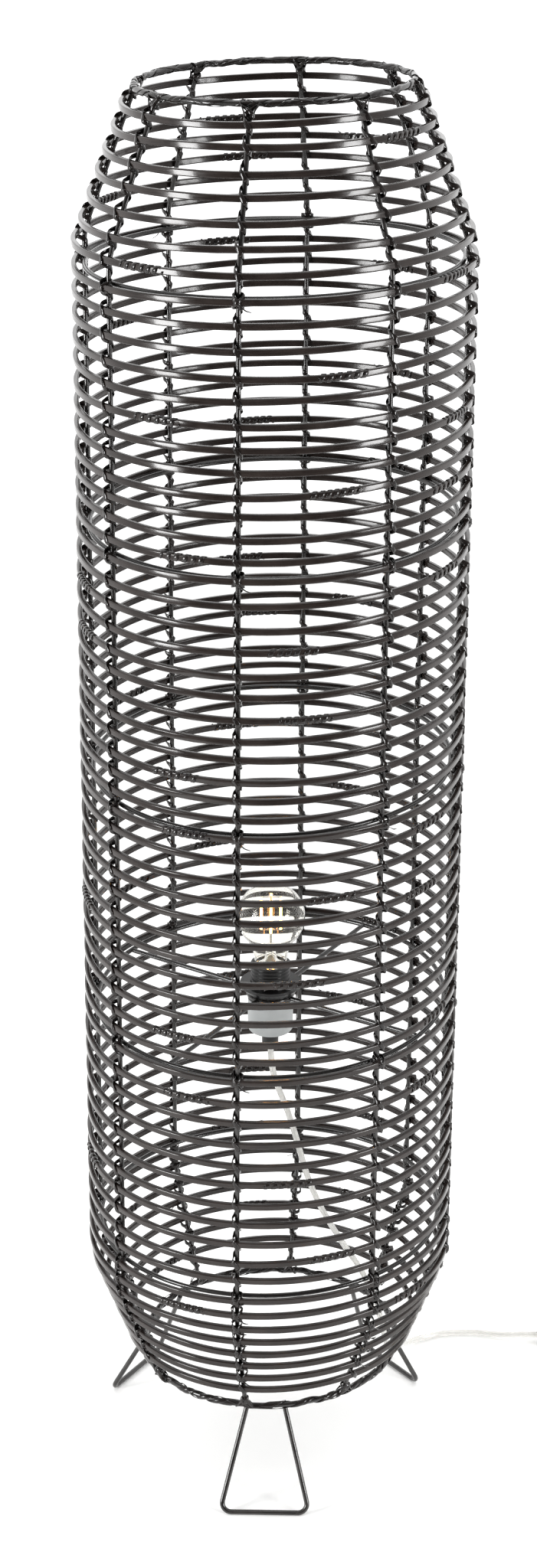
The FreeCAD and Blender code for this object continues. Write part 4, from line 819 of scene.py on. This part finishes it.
# Extruded clear sheath over white cores: milky, with a soft shine along it.
sheath, tree, shader = finish("clear_cord_sheath", Roughness=0.18, IOR=1.5,
                              Transmission_Weight=0.7, Coat_Weight=0.3)
where = add_node(tree, "ShaderNodeTexCoord").outputs["Object"]
haze = add_node(tree, "ShaderNodeTexNoise", {"Vector": where}, Scale=repeats(3.9), Detail=3.0)
tone = add_node(tree, "ShaderNodeValToRGB", {"Fac": haze.outputs["Fac"]})
tone.color_ramp.elements[0].color = rgb("#dddcd7")
tone.color_ramp.elements[1].color = rgb("#f4f3f0")
relief = add_node(tree, "ShaderNodeBump", {"Height": haze.outputs["Fac"]}, Strength=0.15,
                  Distance=0.0003)
feed(tree, shader, {"Base Color": tone.outputs["Color"], "Normal": relief.outputs["Normal"]})


def cord(name, route, stands_for):
    """A smooth cord through the route's control points, in mm."""
    curve = bpy.data.curves.new(name, "CURVE")
    curve.dimensions = "3D"
    spline = curve.splines.new("NURBS")
    spline.points.add(len(route) - 1)
    for point, spot in zip(spline.points, route):
        point.co = (spot[0] / 1000, spot[1] / 1000, spot[2] / 1000, 1)
    spline.order_u = 3
    spline.use_endpoint_u = True
    spline.resolution_u = 8
    curve.bevel_depth = CORD_D / 2000
    curve.bevel_resolution = 5
    curve.use_fill_caps = True
    curve.materials.append(sheath)
    piece = bpy.data.objects.new(name, curve)
    bpy.context.scene.collection.objects.link(piece)
    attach(piece, "root")
    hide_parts(stands_for)
    return piece


SWITCH_X, SWITCH_END, SWITCH_Y, SWITCH_Z = 264.0, 320.0, 134.0, 8.5
PLUG_BACK, PLUG_Y, PLUG_Z = 312.0, -12.0, 9.5
GRIP_Z = RING_Z[3] - 36.5
CORD_CLEAR = 0.25
DROP_ROUTE = [
    (0, 0, GRIP_Z), (0, 0, 378), (4, 0, 354), (16, 2, 322), (25, 4, 289), (34.5, 7, 250),
    (48.5, 11, 214), (67, 15.5, 179), (88, 20.5, 143), (101.5, 25, 103), (108, 40, 68),
    (112, 70, 37), (119, 100, 14), (134, 126, FLOOR + 1), (162, 143, FLOOR), (197, 147, FLOOR),
    (224, 140, FLOOR + 1), (246, SWITCH_Y, SWITCH_Z), (SWITCH_X - CORD_CLEAR, SWITCH_Y, SWITCH_Z)]
drop = cord("mains_cord", DROP_ROUTE, "cord_drop")

PITCH, TURNS, MIDDLE, COIL_X, COIL_Y = 6.1, 3.25, 30.0, 306.0, 58.0
COIL_FLOOR = CORD_D / 2 + 1.0
INWARD = 2 * math.pi * TURNS


def coil_point(angle):
    """The coil at an angle: in along the floor, up a layer, and out again."""
    inner, spiral = MIDDLE - PITCH * TURNS / 2, PITCH / (2 * math.pi)
    if angle <= INWARD:
        radius, level = inner + spiral * (INWARD - angle), 0.0
    elif angle <= INWARD + math.pi:
        radius = inner - spiral * math.sin(angle - INWARD)
        level = PITCH * 0.5 * (1 - math.cos(angle - INWARD))
    else:
        radius, level = inner + spiral * (angle - INWARD - math.pi), PITCH
    return (COIL_X + radius * math.cos(angle), COIL_Y - radius * math.sin(angle),
            COIL_FLOOR + level)


first, last = coil_point(0), coil_point(2 * INWARD + math.pi)
bend = first[0] - SWITCH_END - 4
near = bend * math.tan(math.pi / 12)
far = bend * (1 - math.sqrt(0.5) / math.cos(math.pi / 12))
lead_in = [(SWITCH_END + CORD_CLEAR, SWITCH_Y, SWITCH_Z),
           (first[0] - bend + near, SWITCH_Y, SWITCH_Z),
           (first[0] - far, SWITCH_Y - far, SWITCH_Z - 2),
           (first[0], SWITCH_Y - bend + near, COIL_FLOOR + 1),
           (first[0], first[1] + 18, COIL_FLOOR)]
lead_out = [(last[0], last[1] - 18, last[2]), (last[0], PLUG_Y + bend - near, PLUG_Z),
            (last[0] - far, PLUG_Y + far, PLUG_Z), (last[0] - bend + near, PLUG_Y, PLUG_Z),
            (PLUG_BACK + CORD_CLEAR, PLUG_Y, PLUG_Z)]
# control points stand a little outside the curve that they make
STEPS = 12
SWELL = 1 / math.cos(math.pi / STEPS)
turns = []
for step in range(round(STEPS * (2 * TURNS + 0.5))):
    x, y, z = coil_point((step + 0.5) * 2 * math.pi / STEPS)
    turns.append((COIL_X + (x - COIL_X) * SWELL, COIL_Y + (y - COIL_Y) * SWELL, z))
coil = cord("coiled_cord", lead_in + turns + lead_out, "cord_coil")

# Moulded PVC: off-white, satin, with a slightly leathery skin.
white_moulding = moulded("white_pvc_moulding", "#d0cfc9", 0.38, 0.6, 0.2)
for node in ("switch_housing", "switch_rocker", "plug_body", "coil_tie"):
    dress(node, white_moulding)
    bevel(node, 0.2 if node == "coil_tie" else 0.9)
dress("plug_pins", brass)
bevel("plug_pins", 0.6)
